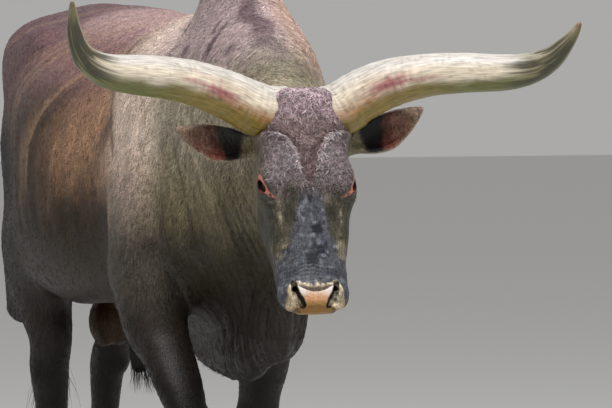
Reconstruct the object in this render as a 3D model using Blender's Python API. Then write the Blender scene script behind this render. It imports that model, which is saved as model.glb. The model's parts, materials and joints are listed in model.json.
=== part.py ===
"""An Ankole Watusi bull, life size, halted in a slow walk with its head lowered.

+Z is up, the bull faces -Y and its own left is +X. Sizes are in metres. Its body is described in
a frame whose origin lies on the ground under the middle of the trunk. At the end all the pieces
move together, so that the origin is under the middle of the whole animal.

The flesh is a field of soft forms, stated as slices along an axis, as ovals or as rods, that melt
into one another. The surface of the field is meshed and thinned. Each named piece of flesh then
takes what lies in its own room and leaves a thin gap around it. Horns and claws are lofted, eyes
are balls, and each horn, eye and dewclaw sits in a seat cut for it.
"""

import math
import random
from collections import namedtuple
from functools import partial
from itertools import product

import bmesh
import bpy
import numpy as np
import openvdb
from mathutils import Matrix, Vector

# The gap between neighbours, the seed of the locks, and the angle above which an edge stays sharp
GAP = 0.0003
SEED = 7
SHARP = math.radians(42)

# Name, colour and roughness of each finish
HIDE = ("hide", (0.115, 0.095, 0.088), 0.75)
DARK_HIDE = ("dark_hide", (0.070, 0.059, 0.057), 0.75)
HORN = ("horn", (0.70, 0.62, 0.48), 0.45)
CLAW = ("claw", (0.06, 0.05, 0.045), 0.5)
EYE = ("eye", (0.015, 0.010, 0.008), 0.08)
HAIR = ("hair", (0.03, 0.026, 0.024), 0.7)

# The poll, how the head is held, and the upright turn of the horns
POLL = Vector((-0.080, -1.080, 1.222))
HEAD_YAW = math.radians(-10.5)
HEAD_ROLL = math.radians(-0.5)
HEAD_TILT = math.radians(-20.0)
HORN_YAW = math.radians(-8.0)
HEAD_TURN = (
    Matrix.Rotation(HEAD_YAW, 4, "Z")
    @ Matrix.Rotation(HEAD_ROLL, 4, "Y")
    @ Matrix.Rotation(HEAD_TILT, 4, "X")
)
HEAD = Matrix.Translation(POLL) @ HEAD_TURN
LEFT, RIGHT = 1, -1
SIDES = ((LEFT, "left"), (RIGHT, "right"))

# In the head's frame the poll is the origin, the muzzle is down and the face looks along -Y
EYE_AT = Vector((0.080, 0.048, -0.198))
EYE_RADIUS = 0.0222
NOSTRIL = (
    (0.0465, 0.000, -0.438),
    (0.0450, 0.000, -0.450),
    (0.0410, 0.002, -0.463),
    (0.0340, 0.008, -0.475),
    (0.0280, 0.012, -0.484),
)
NOSTRIL_RADII = (0.0055, 0.0070, 0.0080, 0.0070, 0.0045)
# The mouth's plane: its middle in the head, the way to its front, and turns from side to front
MOUTH_MIDDLE = Vector((0.0, 0.080, -0.448))
MOUTH_PLANE = Vector((0.0, -0.520, -0.855))
MOUTH_TURNS = (-28.0, -8.0, 12.0, 32.0, 52.0, 72.0, 90.0)
# The furrow beside each brow, from the temple to where both meet: sideways and down the head
BROW_FURROW = ((0.060, -0.090), (0.034, -0.116), (0.017, -0.160), (0.006, -0.210))
EAR_ROOT = Vector((0.096, 0.126, -0.078))
EAR_LENGTH = 0.192
# How far out the ear is parted from the head, and the block it lies in
EAR_CUT = 0.036
EAR_ROOM = (0.14, 0.10, 0.30)

# Trunk slices along Y: how far back, top, bottom, half width, height of the widest line
TRUNK = (
    (-0.68, 1.02, 0.84, 0.06, 0.94),
    (-0.62, 1.13, 0.76, 0.12, 0.95),
    (-0.50, 1.28, 0.69, 0.175, 0.95),
    (-0.30, 1.370, 0.650, 0.215, 0.95),
    (-0.05, 1.380, 0.655, 0.262, 0.96),
    (0.25, 1.395, 0.680, 0.328, 0.97),
    (0.50, 1.405, 0.730, 0.318, 1.02),
    (0.68, 1.408, 0.820, 0.262, 1.13),
    (0.86, 1.402, 0.930, 0.204, 1.19),
    (0.97, 1.352, 1.030, 0.152, 1.21),
    (1.02, 1.285, 1.120, 0.086, 1.21),
)
# Neck slices along Y: how far back, sideways shift, top, bottom, half width, widest line
NECK = (
    (-1.03, -0.070, 1.185, 0.985, 0.072, 1.08),
    (-0.95, -0.060, 1.218, 0.925, 0.090, 1.07),
    (-0.85, -0.048, 1.255, 0.880, 0.106, 1.06),
    (-0.72, -0.030, 1.322, 0.830, 0.138, 1.06),
    (-0.60, -0.014, 1.385, 0.775, 0.166, 1.05),
    (-0.48, -0.003, 1.420, 0.730, 0.188, 1.04),
    (-0.34, 0.000, 1.420, 0.700, 0.196, 1.02),
)
# Dewlap slices along Y: how far back, sideways shift, top, bottom, half thickness, thickest line
DEWLAP = (
    (-0.965, -0.066, 0.985, 0.900, 0.020, 0.940),
    (-0.900, -0.055, 0.990, 0.800, 0.026, 0.900),
    (-0.840, -0.045, 0.980, 0.660, 0.032, 0.800),
    (-0.780, -0.030, 0.960, 0.618, 0.042, 0.740),
    (-0.660, -0.018, 0.930, 0.598, 0.052, 0.700),
    (-0.500, -0.012, 0.880, 0.556, 0.056, 0.690),
    (-0.340, -0.014, 0.860, 0.538, 0.052, 0.680),
    (-0.200, -0.014, 0.820, 0.545, 0.044, 0.680),
    (-0.080, -0.012, 0.780, 0.560, 0.040, 0.690),
    (0.060, -0.010, 0.760, 0.610, 0.040, 0.690),
)
# Limb girths by height: half width, reach ahead of the bone line and behind it
FORE_GIRTH = (
    (1.04, 0.012, 0.020, 0.020),
    (1.00, 0.034, 0.055, 0.055),
    (0.92, 0.060, 0.090, 0.090),
    (0.80, 0.076, 0.098, 0.100),
    (0.72, 0.077, 0.090, 0.088),
    (0.62, 0.068, 0.074, 0.064),
    (0.53, 0.059, 0.062, 0.053),
    (0.47, 0.052, 0.054, 0.048),
    (0.42, 0.055, 0.060, 0.047),
    (0.37, 0.047, 0.050, 0.045),
    (0.32, 0.037, 0.038, 0.040),
    (0.25, 0.034, 0.034, 0.040),
    (0.19, 0.042, 0.040, 0.048),
    (0.16, 0.046, 0.044, 0.050),
    (0.12, 0.042, 0.046, 0.042),
    (0.08, 0.050, 0.056, 0.047),
    (0.04, 0.052, 0.060, 0.049),
)
HIND_GIRTH = (
    (1.16, 0.014, 0.020, 0.030),
    (1.10, 0.050, 0.080, 0.090),
    (1.02, 0.070, 0.130, 0.150),
    (0.94, 0.080, 0.150, 0.160),
    (0.85, 0.088, 0.150, 0.145),
    (0.75, 0.082, 0.126, 0.120),
    (0.66, 0.068, 0.094, 0.092),
    (0.58, 0.052, 0.064, 0.078),
    (0.51, 0.048, 0.055, 0.072),
    (0.45, 0.044, 0.050, 0.056),
    (0.38, 0.038, 0.040, 0.045),
    (0.27, 0.034, 0.035, 0.041),
    (0.20, 0.041, 0.040, 0.047),
    (0.16, 0.045, 0.044, 0.050),
    (0.12, 0.042, 0.047, 0.042),
    (0.08, 0.050, 0.056, 0.047),
    (0.04, 0.052, 0.060, 0.049),
)
# The line down the middle of each leg, from the top: height, sideways, how far back
LEG_LINES = {
    "foreleg_right": (
        (1.04, -0.170, -0.290),
        (0.90, -0.206, -0.315),
        (0.72, -0.219, -0.338),
        (0.62, -0.206, -0.410),
        (0.52, -0.190, -0.486),
        (0.42, -0.176, -0.542),
        (0.30, -0.178, -0.566),
        (0.17, -0.179, -0.592),
        (0.04, -0.182, -0.640),
    ),
    "foreleg_left": (
        (1.04, 0.160, -0.330),
        (0.90, 0.172, -0.300),
        (0.80, 0.160, -0.235),
        (0.72, 0.143, -0.180),
        (0.62, 0.139, -0.122),
        (0.52, 0.139, -0.076),
        (0.42, 0.134, -0.040),
        (0.30, 0.130, 0.000),
        (0.17, 0.126, 0.055),
        (0.04, 0.127, 0.005),
    ),
    "hindleg_right": (
        (1.16, -0.140, 0.720),
        (1.02, -0.165, 0.680),
        (0.85, -0.212, 0.640),
        (0.75, -0.217, 0.622),
        (0.66, -0.213, 0.598),
        (0.58, -0.206, 0.560),
        (0.51, -0.204, 0.575),
        (0.38, -0.200, 0.560),
        (0.17, -0.194, 0.492),
        (0.04, -0.190, 0.438),
    ),
    "hindleg_left": (
        (1.16, 0.140, 0.720),
        (1.02, 0.160, 0.700),
        (0.85, 0.172, 0.755),
        (0.75, 0.156, 0.840),
        (0.66, 0.134, 0.945),
        (0.58, 0.117, 1.045),
        (0.51, 0.108, 1.110),
        (0.38, 0.106, 1.150),
        (0.17, 0.107, 1.188),
        (0.04, 0.108, 1.135),
    ),
}
# Tail by height: sideways, how far back, half width, reach ahead and behind
TAIL = (
    (1.325, 0.000, 0.995, 0.030, 0.060, 0.030),
    (1.270, -0.002, 1.043, 0.028, 0.040, 0.028),
    (1.180, -0.012, 1.066, 0.022, 0.024, 0.024),
    (1.000, -0.038, 1.070, 0.017, 0.018, 0.018),
    (0.800, -0.058, 1.068, 0.013, 0.014, 0.014),
    (0.640, -0.066, 1.066, 0.011, 0.012, 0.012),
)

# Horns in the head's upright frame: outward, up, ahead of the poll, and thickness
HORN_RIGHT = (
    (0.035, -0.040, -0.075, 0.118),
    (0.090, -0.036, -0.060, 0.120),
    (0.165, -0.003, -0.030, 0.110),
    (0.240, 0.024, 0.005, 0.102),
    (0.317, 0.040, 0.040, 0.095),
    (0.395, 0.048, 0.072, 0.089),
    (0.453, 0.056, 0.092, 0.078),
    (0.499, 0.077, 0.112, 0.062),
    (0.526, 0.109, 0.135, 0.046),
    (0.541, 0.149, 0.160, 0.034),
    (0.547, 0.187, 0.182, 0.021),
    (0.550, 0.212, 0.195, 0.008),
)
HORN_LEFT = (
    (0.035, -0.045, -0.075, 0.118),
    (0.090, -0.034, -0.060, 0.122),
    (0.128, -0.007, -0.046, 0.119),
    (0.190, 0.024, -0.018, 0.111),
    (0.272, 0.043, 0.020, 0.098),
    (0.352, 0.049, 0.055, 0.090),
    (0.430, 0.050, 0.090, 0.083),
    (0.486, 0.059, 0.115, 0.072),
    (0.528, 0.081, 0.140, 0.056),
    (0.557, 0.114, 0.165, 0.038),
    (0.575, 0.143, 0.185, 0.022),
    (0.584, 0.163, 0.197, 0.008),
)

HORN_SIDES = 14

# A claw's sole: outline about the hoof's middle line, ahead is -Y, and how far its top slides back
CLAW_OUTLINE = (
    (0.001, -0.082),
    (0.010, -0.092),
    (0.022, -0.086),
    (0.040, -0.056),
    (0.052, -0.018),
    (0.054, 0.016),
    (0.048, 0.042),
    (0.034, 0.056),
    (0.016, 0.056),
    (0.003, 0.044),
    (0.000, 0.000),
    (0.000, -0.045),
)
CLAW_RAKE = 0.004
# How wide and how long a claw's top is beside its sole, and the plane of the coronet
CLAW_TOP = (0.92, 0.70)
CORONET_HEIGHT = 0.068
CORONET_SLOPE = 0.25
# Dewclaws: radii, height, and how far sideways and back of the leg's line
DEWCLAW = (0.014, 0.014, 0.021)
DEWCLAW_HEIGHT = 0.135
DEWCLAW_SPOT = (0.023, 0.040)

# Where the tail and the sheath end and their hair begins
TAIL_END = (-0.065, 1.066, 0.665)
SHEATH_END = (-0.012, 0.440, 0.530)
# Hair at each: reach, spread, flare, how many locks, and half width and half depth of a lock
SWITCH = (0.33, 0.024, 1.0, 11, (0.014, 0.007))
SHEATH_HAIR = (0.085, 0.016, 0.5, 6, (0.010, 0.006))

# What the two fields are sampled over, how finely, and the triangles left
BODY_BOX = ((-0.44, -1.02, 0.02), (0.44, 1.32, 1.60))
BODY_STEP = 0.011
BODY_TRIANGLES = 4650
HEAD_BOX = ((-0.42, -1.38, 0.60), (0.26, -0.80, 1.32))
HEAD_STEP = 0.0045
HEAD_TRIANGLES = 4200

# Where head and neck part: a point, and the way to the head
NECK_PLANE = ((-0.06, -0.905, 1.06), (-0.05, -0.985, -0.17))
# What each piece takes of the body, in order: the view of its outline, the outline, how far it
# reaches along the third axis, and its finish. The front view is X and Z, the side view Y and Z.
SHARES = (
    (
        "foreleg_left",
        "front",
        ((0.076, -0.1), (0.42, -0.1), (0.42, 0.85), (0.076, 0.61)),
        (-0.55, 0.30),
        DARK_HIDE,
    ),
    (
        "foreleg_right",
        "front",
        ((-0.42, -0.1), (-0.085, -0.1), (-0.085, 0.62), (-0.42, 0.85)),
        (-0.90, -0.15),
        DARK_HIDE,
    ),
    (
        "hindleg_left",
        "front",
        ((0.060, -0.1), (0.45, -0.1), (0.45, 1.15), (0.060, 0.80)),
        (0.58, 1.50),
        DARK_HIDE,
    ),
    (
        "hindleg_right",
        "front",
        ((-0.45, -0.1), (-0.082, -0.1), (-0.082, 0.80), (-0.45, 1.12)),
        (0.38, 0.95),
        DARK_HIDE,
    ),
    (
        "dewlap",
        "side",
        ((-1.10, 0.30), (-0.53, 0.30), (-0.53, 0.605), (-1.10, 1.000)),
        (-0.20, 0.20),
        DARK_HIDE,
    ),
    (
        "tail",
        "front",
        ((-0.13, 0.40), (0.05, 0.40), (0.05, 1.45), (-0.05, 1.45), (-0.05, 1.20), (-0.13, 1.00)),
        (1.000, 1.300),
        HIDE,
    ),
    (
        "scrotum",
        "side",
        ((0.58, 0.40), (0.84, 0.40), (0.84, 0.715), (0.58, 0.715)),
        (-0.09, 0.09),
        HIDE,
    ),
    (
        "sheath",
        "side",
        ((0.24, 0.40), (0.57, 0.40), (0.57, 0.665), (0.24, 0.665)),
        (-0.07, 0.07),
        HIDE,
    ),
    (
        "neck",
        "side",
        ((-1.40, 0.30), (-0.72, 0.30), (-0.46, 1.70), (-1.40, 1.70)),
        (-0.60, 0.60),
        HIDE,
    ),
    (
        "hump",
        "side",
        ((-0.80, 1.275), (0.15, 1.43), (0.15, 1.80), (-0.80, 1.80)),
        (-0.40, 0.40),
        HIDE,
    ),
)
# Moves the middle of the whole animal over the origin
SHIFT = (0.086, 0.061)

Form = namedtuple("Form", "low high blend carve distance")


def eased(rows, count=160):
    """A table's rows, resampled along a smooth curve. The first column is the place along it."""
    table = np.array(rows, float)
    if table[0, 0] > table[-1, 0]:
        table = table[::-1]
    place, values = table[:, 0], table[:, 1:]
    slopes = np.gradient(values, place, axis=0)
    fine = np.linspace(place[0], place[-1], count)
    index = np.clip(np.searchsorted(place, fine, side="right") - 1, 0, len(place) - 2)
    span = (place[index + 1] - place[index])[:, None]
    t = ((fine - place[index])[:, None]) / span
    start, end = values[index], values[index + 1]
    smooth = (
        (2 * t**3 - 3 * t**2 + 1) * start
        + (t**3 - 2 * t**2 + t) * span * slopes[index]
        + (3 * t**2 - 2 * t**3) * end
        + (t**3 - t**2) * span * slopes[index + 1]
    )
    return fine, smooth.T


def box_of(points, margin):
    points = np.array(points, float)
    return points.min(0) - margin, points.max(0) + margin


def corners(low, high):
    """The eight corners of a box."""
    return [Vector(corner) for corner in product(*zip(low, high))]


def slices(axis, rows, power=2.0, blend=0.03, frame=None, carve=False):
    """A form given by its slices across an axis, 1 for Y or 2 for Z.

    Rows hold the place, the slice's centre across X and across the other axis, its half width
    across X, and its reach on the plus and on the minus side of the other axis.
    """
    place, (middle, level, half, plus, minus) = eased(rows)
    other = 3 - axis
    low, high = np.zeros(3), np.zeros(3)
    low[0], high[0] = (middle - half).min(), (middle + half).max()
    low[other], high[other] = (level - minus).min(), (level + plus).max()
    low[axis], high[axis] = place[0], place[-1]

    def distance(points):
        along = points[..., axis]
        across = points[..., 0] - np.interp(along, place, middle)
        rise = points[..., other] - np.interp(along, place, level)
        width = np.interp(along, place, half)
        reach = np.where(rise > 0, np.interp(along, place, plus), np.interp(along, place, minus))
        a, b = np.abs(across) / width, np.abs(rise) / reach
        size = (a**power + b**power) ** (1 / power) + 1e-6
        slope = size ** (1 - power) * np.hypot(a ** (power - 1) / width, b ** (power - 1) / reach)
        sides = (size - 1) / (slope + 1e-3)
        return np.maximum(sides, np.maximum(place[0] - along, along - place[-1]))

    return placed(low, high, distance, blend, carve, frame)


def oval(centre, radii, turn=None, blend=0.03, frame=None, carve=False):
    """An ellipsoid. turn is its own rotation, about its centre."""
    own = Matrix.Translation(centre) @ (turn.to_4x4() if turn else Matrix.Identity(4))
    radii = np.array(radii, float)

    def distance(points):
        near = np.linalg.norm(points / radii, axis=-1) + 1e-6
        return near * (near - 1) / (np.linalg.norm(points / radii**2, axis=-1) + 1e-3)

    frame = frame @ own if frame else own
    return placed(-radii, radii, distance, blend, carve, frame)


def bar(start, end, start_radius, end_radius, blend=0.03, frame=None, carve=False):
    """A rod with round ends that tapers from one radius to the other."""
    start, end = np.array(start, float), np.array(end, float)
    axis = end - start
    thick = max(start_radius, end_radius)

    def distance(points):
        t = np.clip((points - start) @ axis / (axis @ axis), 0, 1)
        away = np.linalg.norm(points - start - t[..., None] * axis, axis=-1)
        return away - (start_radius + t * (end_radius - start_radius))

    low, high = box_of([start, end], thick)
    return placed(low, high, distance, blend, carve, frame)


def placed(low, high, distance, blend, carve, frame):
    """A form with its box and its distance stated in the body's frame."""
    if frame is None:
        return Form(low, high, blend, carve, distance)
    back = np.array(frame.inverted(), float)
    world_low, world_high = box_of([frame @ c for c in corners(low, high)], 0.0)

    def moved(points):
        return distance(points @ back[:3, :3].T + back[:3, 3])

    return Form(world_low, world_high, blend, carve, moved)


def both(make, centre, *rest, **named):
    """The same form on the left and on the right, mirrored."""
    forms = []
    for side, _ in SIDES:
        spot = (side * centre[0], centre[1], centre[2])
        forms.append(make(spot, *rest, **named))
    return forms


def mirrored(point, side):
    return Vector((side * point[0], point[1], point[2]))


def as_slices(rows):
    """Slice rows from rows of place, shift, top, bottom, half width and widest line."""
    made = []
    for place, shift, top, bottom, half, widest in rows:
        made.append((place, shift, widest, half, top - widest, widest - bottom))
    return made


def trunk_forms():
    rows = [(y, 0.0, top, bottom, half, widest) for y, top, bottom, half, widest in TRUNK]
    forms = [slices(1, as_slices(rows), power=2.15, blend=0.01)]
    lean = Matrix.Rotation(math.radians(-24), 3, "X")
    rump = Matrix.Rotation(math.radians(14), 3, "X")
    forms += both(oval, (0.142, -0.255, 1.045), (0.088, 0.165, 0.225), turn=lean, blend=0.10)
    forms += both(oval, (0.170, -0.475, 0.915), (0.050, 0.065, 0.090), blend=0.06)
    forms += both(oval, (0.180, -0.210, 0.920), (0.070, 0.140, 0.150), blend=0.06)
    forms.append(oval((-0.205, -0.270, 0.900), (0.070, 0.130, 0.200), blend=0.06))
    forms += both(oval, (0.205, 0.620, 1.305), (0.038, 0.075, 0.042), blend=0.06)
    forms += both(oval, (0.115, 0.965, 1.225), (0.040, 0.050, 0.050), blend=0.05)
    forms += both(oval, (0.158, 0.760, 1.110), (0.092, 0.225, 0.240), turn=rump, blend=0.08)
    forms += both(oval, (0.151, 0.785, 1.253), (0.091, 0.205, 0.096), turn=rump, blend=0.06)
    forms.append(bar((0.145, 0.890, 1.060), (0.116, 1.115, 0.630), 0.104, 0.028, blend=0.06))
    forms.append(bar((0.145, 0.860, 0.900), (0.122, 1.030, 0.690), 0.085, 0.048, blend=0.06))
    forms.append(bar((-0.150, 0.870, 1.040), (-0.236, 0.705, 0.660), 0.084, 0.042, blend=0.06))
    forms += both(oval, (0.190, 0.340, 0.850), (0.128, 0.330, 0.165), blend=0.06)
    forms += both(oval, (0.215, 0.480, 0.880), (0.075, 0.120, 0.130), blend=0.08)
    return forms


def hump_forms():
    lean = Matrix.Rotation(math.radians(10), 3, "X")
    return [
        oval((0.0, -0.345, 1.330), (0.096, 0.205, 0.200), turn=lean, blend=0.06),
        oval((0.0, -0.120, 1.326), (0.056, 0.180, 0.066), blend=0.05),
    ]


def neck_forms():
    return [slices(1, as_slices(NECK), power=2.1, blend=0.05)]


def dewlap_forms():
    forms = [slices(1, as_slices(DEWLAP), power=1.8, blend=0.05)]
    forms.append(oval((-0.012, -0.390, 0.624), (0.048, 0.150, 0.078), blend=0.03))
    forms.append(oval((0.006, -0.665, 0.704), (0.042, 0.105, 0.098), blend=0.03))
    return forms


def leg_forms(name):
    """One leg: its girths strung on its line."""
    girth = FORE_GIRTH if name.startswith("fore") else HIND_GIRTH
    heights, line = eased(LEG_LINES[name])
    rows = []
    for height, half, ahead, behind in girth:
        x, y = (float(np.interp(height, heights, column)) for column in line)
        rows.append((height, x, y, half, behind, ahead))
    forms = [slices(2, rows, power=2.2, blend=0.06)]
    side = -1 if name.endswith("right") else 1

    def on_line(height, sideways, back):
        x, y = (float(np.interp(height, heights, column)) for column in line)
        return Vector((x + side * sideways, y + back, height))

    if name.startswith("fore"):
        forms.append(oval(on_line(0.775, 0.012, 0.075), (0.040, 0.045, 0.055), blend=0.05))
        forms.append(oval(on_line(0.700, 0.014, -0.026), (0.056, 0.060, 0.105), blend=0.04))
        forms.append(oval(on_line(0.425, 0.0, -0.030), (0.040, 0.030, 0.045), blend=0.02))
        forms.append(oval(on_line(0.450, 0.0, 0.040), (0.022, 0.020, 0.024), blend=0.03))
    else:
        hock = on_line(0.565, 0.0, 0.074)
        forms.append(bar(hock, on_line(0.480, 0.0, 0.040), 0.020, 0.024, blend=0.03))
        forms.append(bar(on_line(0.700, 0.0, 0.066), hock, 0.024, 0.014, blend=0.03))
        forms.append(oval(on_line(0.500, 0.026, -0.018), (0.022, 0.034, 0.036), blend=0.02))
    return forms


def tail_forms():
    """The tail and its root, which runs out of the croup."""
    rows = [(z, x, y, half, behind, ahead) for z, x, y, half, ahead, behind in TAIL]
    root = bar((0.0, 0.900, 1.330), (0.0, 1.018, 1.292), 0.040, 0.032, blend=0.06)
    return [slices(2, rows, blend=0.04), root]


def underside_forms():
    """Scrotum and sheath."""
    return [
        bar((-0.012, 0.690, 0.850), (-0.012, 0.705, 0.690), 0.050, 0.040, blend=0.05),
        oval((0.012, 0.712, 0.622), (0.040, 0.048, 0.066), blend=0.02),
        oval((-0.026, 0.708, 0.620), (0.040, 0.048, 0.067), blend=0.02),
        oval((0.0, 0.430, 0.690), (0.070, 0.180, 0.050), blend=0.05),
        bar((0.0, 0.460, 0.660), (-0.012, 0.440, 0.530), 0.046, 0.027, blend=0.05),
    ]


# Skull slices down the head: height, middle, depth of the widest line, half width, reach back
# and reach ahead
SKULL = (
    (0.014, 0.0, 0.085, 0.066, 0.055, 0.050),
    (-0.020, 0.0, 0.100, 0.092, 0.090, 0.092),
    (-0.080, 0.0, 0.105, 0.103, 0.125, 0.106),
    (-0.140, 0.0, 0.105, 0.103, 0.130, 0.108),
    (-0.200, 0.0, 0.098, 0.098, 0.130, 0.099),
    (-0.250, 0.0, 0.090, 0.088, 0.120, 0.085),
    (-0.310, 0.0, 0.080, 0.081, 0.105, 0.072),
    (-0.370, 0.0, 0.072, 0.080, 0.090, 0.065),
    (-0.425, 0.0, 0.062, 0.079, 0.070, 0.060),
    (-0.460, 0.0, 0.056, 0.073, 0.058, 0.057),
    (-0.484, 0.0, 0.048, 0.058, 0.012, 0.042),
    (-0.496, 0.0, 0.040, 0.040, 0.008, 0.016),
)
# Jaw slices down the head, stated alike
JAW = (
    (-0.030, 0.0, 0.160, 0.060, 0.045, 0.060),
    (-0.090, 0.0, 0.170, 0.090, 0.066, 0.080),
    (-0.160, 0.0, 0.165, 0.096, 0.088, 0.080),
    (-0.230, 0.0, 0.152, 0.095, 0.090, 0.075),
    (-0.300, 0.0, 0.136, 0.090, 0.078, 0.065),
    (-0.360, 0.0, 0.124, 0.077, 0.064, 0.050),
    (-0.420, 0.0, 0.114, 0.066, 0.052, 0.044),
    (-0.448, 0.0, 0.108, 0.058, 0.042, 0.040),
    (-0.466, 0.0, 0.100, 0.044, 0.026, 0.030),
    (-0.474, 0.0, 0.094, 0.028, 0.012, 0.018),
)


def head_forms():
    frame = HEAD
    forms = [
        slices(2, SKULL, power=2.5, blend=0.03, frame=frame),
        slices(2, JAW, power=2.4, blend=0.02, frame=frame),
        oval((0.0, 0.046, -0.449), (0.074, 0.048, 0.040), blend=0.02, frame=frame),
        oval((0.0, 0.030, -0.472), (0.046, 0.030, 0.022), blend=0.012, frame=frame),
        oval((0.0, 0.050, -0.004), (0.070, 0.056, 0.030), blend=0.03, frame=frame),
    ]
    forms += both(oval, (0.056, 0.016, -0.172), (0.036, 0.018, 0.052), blend=0.014, frame=frame)
    forms += both(oval, (0.080, 0.052, -0.202), (0.032, 0.044, 0.056), blend=0.025, frame=frame)
    forms += both(oval, (0.067, 0.150, -0.205), (0.034, 0.072, 0.090), blend=0.03, frame=frame)
    forms += both(oval, (0.060, 0.066, -0.285), (0.028, 0.034, 0.070), blend=0.03, frame=frame)
    forms += both(oval, (0.058, 0.032, -0.458), (0.020, 0.028, 0.031), blend=0.010, frame=frame)
    forms += both(oval, (0.036, 0.030, 0.000), (0.026, 0.030, 0.022), blend=0.012, frame=frame)
    forms += both(oval, (0.072, 0.090, -0.050), (0.036, 0.052, 0.048), blend=0.02, frame=frame)
    return forms


def ear_frame(side):
    """The ear's own frame at its root: Z runs out to the tip and -Y is the way the cup opens."""
    rise = math.radians(22 if side == LEFT else 9)
    sweep = math.radians(6)
    roll = math.radians(10)
    root = mirrored(EAR_ROOT, side)
    if side == LEFT:
        root.x += 0.010
    lie = Matrix.Rotation(side * (math.pi / 2 - rise), 4, "Y")
    return (
        HEAD
        @ Matrix.Translation(root)
        @ Matrix.Rotation(-side * sweep, 4, "Z")
        @ lie
        @ Matrix.Rotation(side * roll, 4, "Z")
    )


def ear_forms(side):
    """The blade of the ear, its stalk, and the cup carved out of both."""
    frame = ear_frame(side)
    low = side
    blade = [
        (-0.030, 0.0, 0.010, 0.022, 0.024, 0.024),
        (0.020, 0.002 * low, 0.010, 0.027, 0.024, 0.024),
        (0.055, 0.006 * low, 0.008, 0.039, 0.019, 0.022),
        (0.095, 0.008 * low, 0.004, 0.043, 0.015, 0.018),
        (0.135, 0.003 * low, 0.000, 0.034, 0.011, 0.013),
        (0.170, -0.003 * low, 0.000, 0.019, 0.009, 0.009),
        (EAR_LENGTH, -0.008 * low, 0.000, 0.005, 0.004, 0.004),
    ]
    cup = oval((0.004 * low, -0.014, 0.086), (0.033, 0.023, 0.074), blend=0.004, frame=frame, carve=True)
    return [slices(2, blade, blend=0.016, frame=frame), cup]


def on_skin(forms, start, way, reach=0.14):
    """Where a line from inside the head comes out through the skin, in the head's frame."""
    steps = np.linspace(0.0, reach, 141)
    line = np.array([HEAD @ (Vector(start) + Vector(way).normalized() * t) for t in steps], float)
    field = np.full(len(line), 0.1)
    for form in forms:
        if not form.carve:
            field = blended(field, form.distance(line), form.blend)
    last = np.flatnonzero(field < 0)[-1]
    return Vector(start) + Vector(way).normalized() * steps[last]


def grooves(spots, radii, blend):
    """Rods along a line of points, to be hollowed out of the head."""
    pairs = zip(spots, spots[1:], radii, radii[1:])
    return [bar(a, b, r, q, blend=blend, frame=HEAD, carve=True) for a, b, r, q in pairs]


def face_cuts(forms):
    """What is hollowed out of the head: nostrils, mouth line, and the furrows between the brows."""
    cuts = []
    for side, _ in SIDES:
        slit = []
        for x, y, z in NOSTRIL:
            inside = (side * x, 0.060, z + 0.012)
            slit.append(on_skin(forms, inside, (0.0, y - 0.060, -0.012)))
        cuts += grooves(slit, NOSTRIL_RADII, 0.005)
        pit = slit[1] + Vector((-side * 0.010, 0.026, 0.012))
        cuts += grooves([slit[0], pit], (0.0085, 0.006), 0.004)
        lips = []
        for turn in MOUTH_TURNS:
            around = math.radians(turn)
            ahead = MOUTH_PLANE * math.sin(around)
            lips.append(on_skin(forms, MOUTH_MIDDLE, (side * math.cos(around), ahead.y, ahead.z)))
        cuts += grooves(lips, [0.0050] * len(lips), 0.003)
        brow = [on_skin(forms, (x * side, 0.060, z), (0.0, -1.0, 0.0)) for x, z in BROW_FURROW]
        cuts += grooves(brow, (0.004, 0.006, 0.006, 0.004), 0.012)
    return cuts


def eye_frame(side):
    """The eye's own frame: -Y looks out of the head, Z is up across the lids."""
    outward = Matrix.Rotation(side * math.radians(62), 4, "Z")
    slant = Matrix.Rotation(-side * math.radians(46), 4, "Y")
    return HEAD @ Matrix.Translation(mirrored(EYE_AT, side)) @ outward @ slant


def lid_forms(side):
    """The lids are a dome over the ball, with an almond opened in it."""
    frame = eye_frame(side)
    dome = oval((0.0, 0.0, 0.0), (0.033, 0.0262, 0.027), blend=0.010, frame=frame)
    almond = oval((0.0, -0.020, 0.0), (0.0270, 0.022, 0.0120), blend=0.002, frame=frame, carve=True)
    return [dome, almond]


def body_forms():
    forms = trunk_forms() + hump_forms() + neck_forms() + dewlap_forms()
    for name in LEG_LINES:
        forms += leg_forms(name)
    return forms + tail_forms() + underside_forms()


def full_head_forms():
    forms = head_forms()
    for side, _ in SIDES:
        forms += ear_forms(side)
        forms += lid_forms(side)
    return forms + face_cuts(forms)


def blended(field, other, blend):
    """The smooth union of two distance fields."""
    share = np.clip(0.5 + 0.5 * (field - other) / blend, 0, 1)
    return field + (other - field) * share - blend * share * (1 - share)


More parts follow.
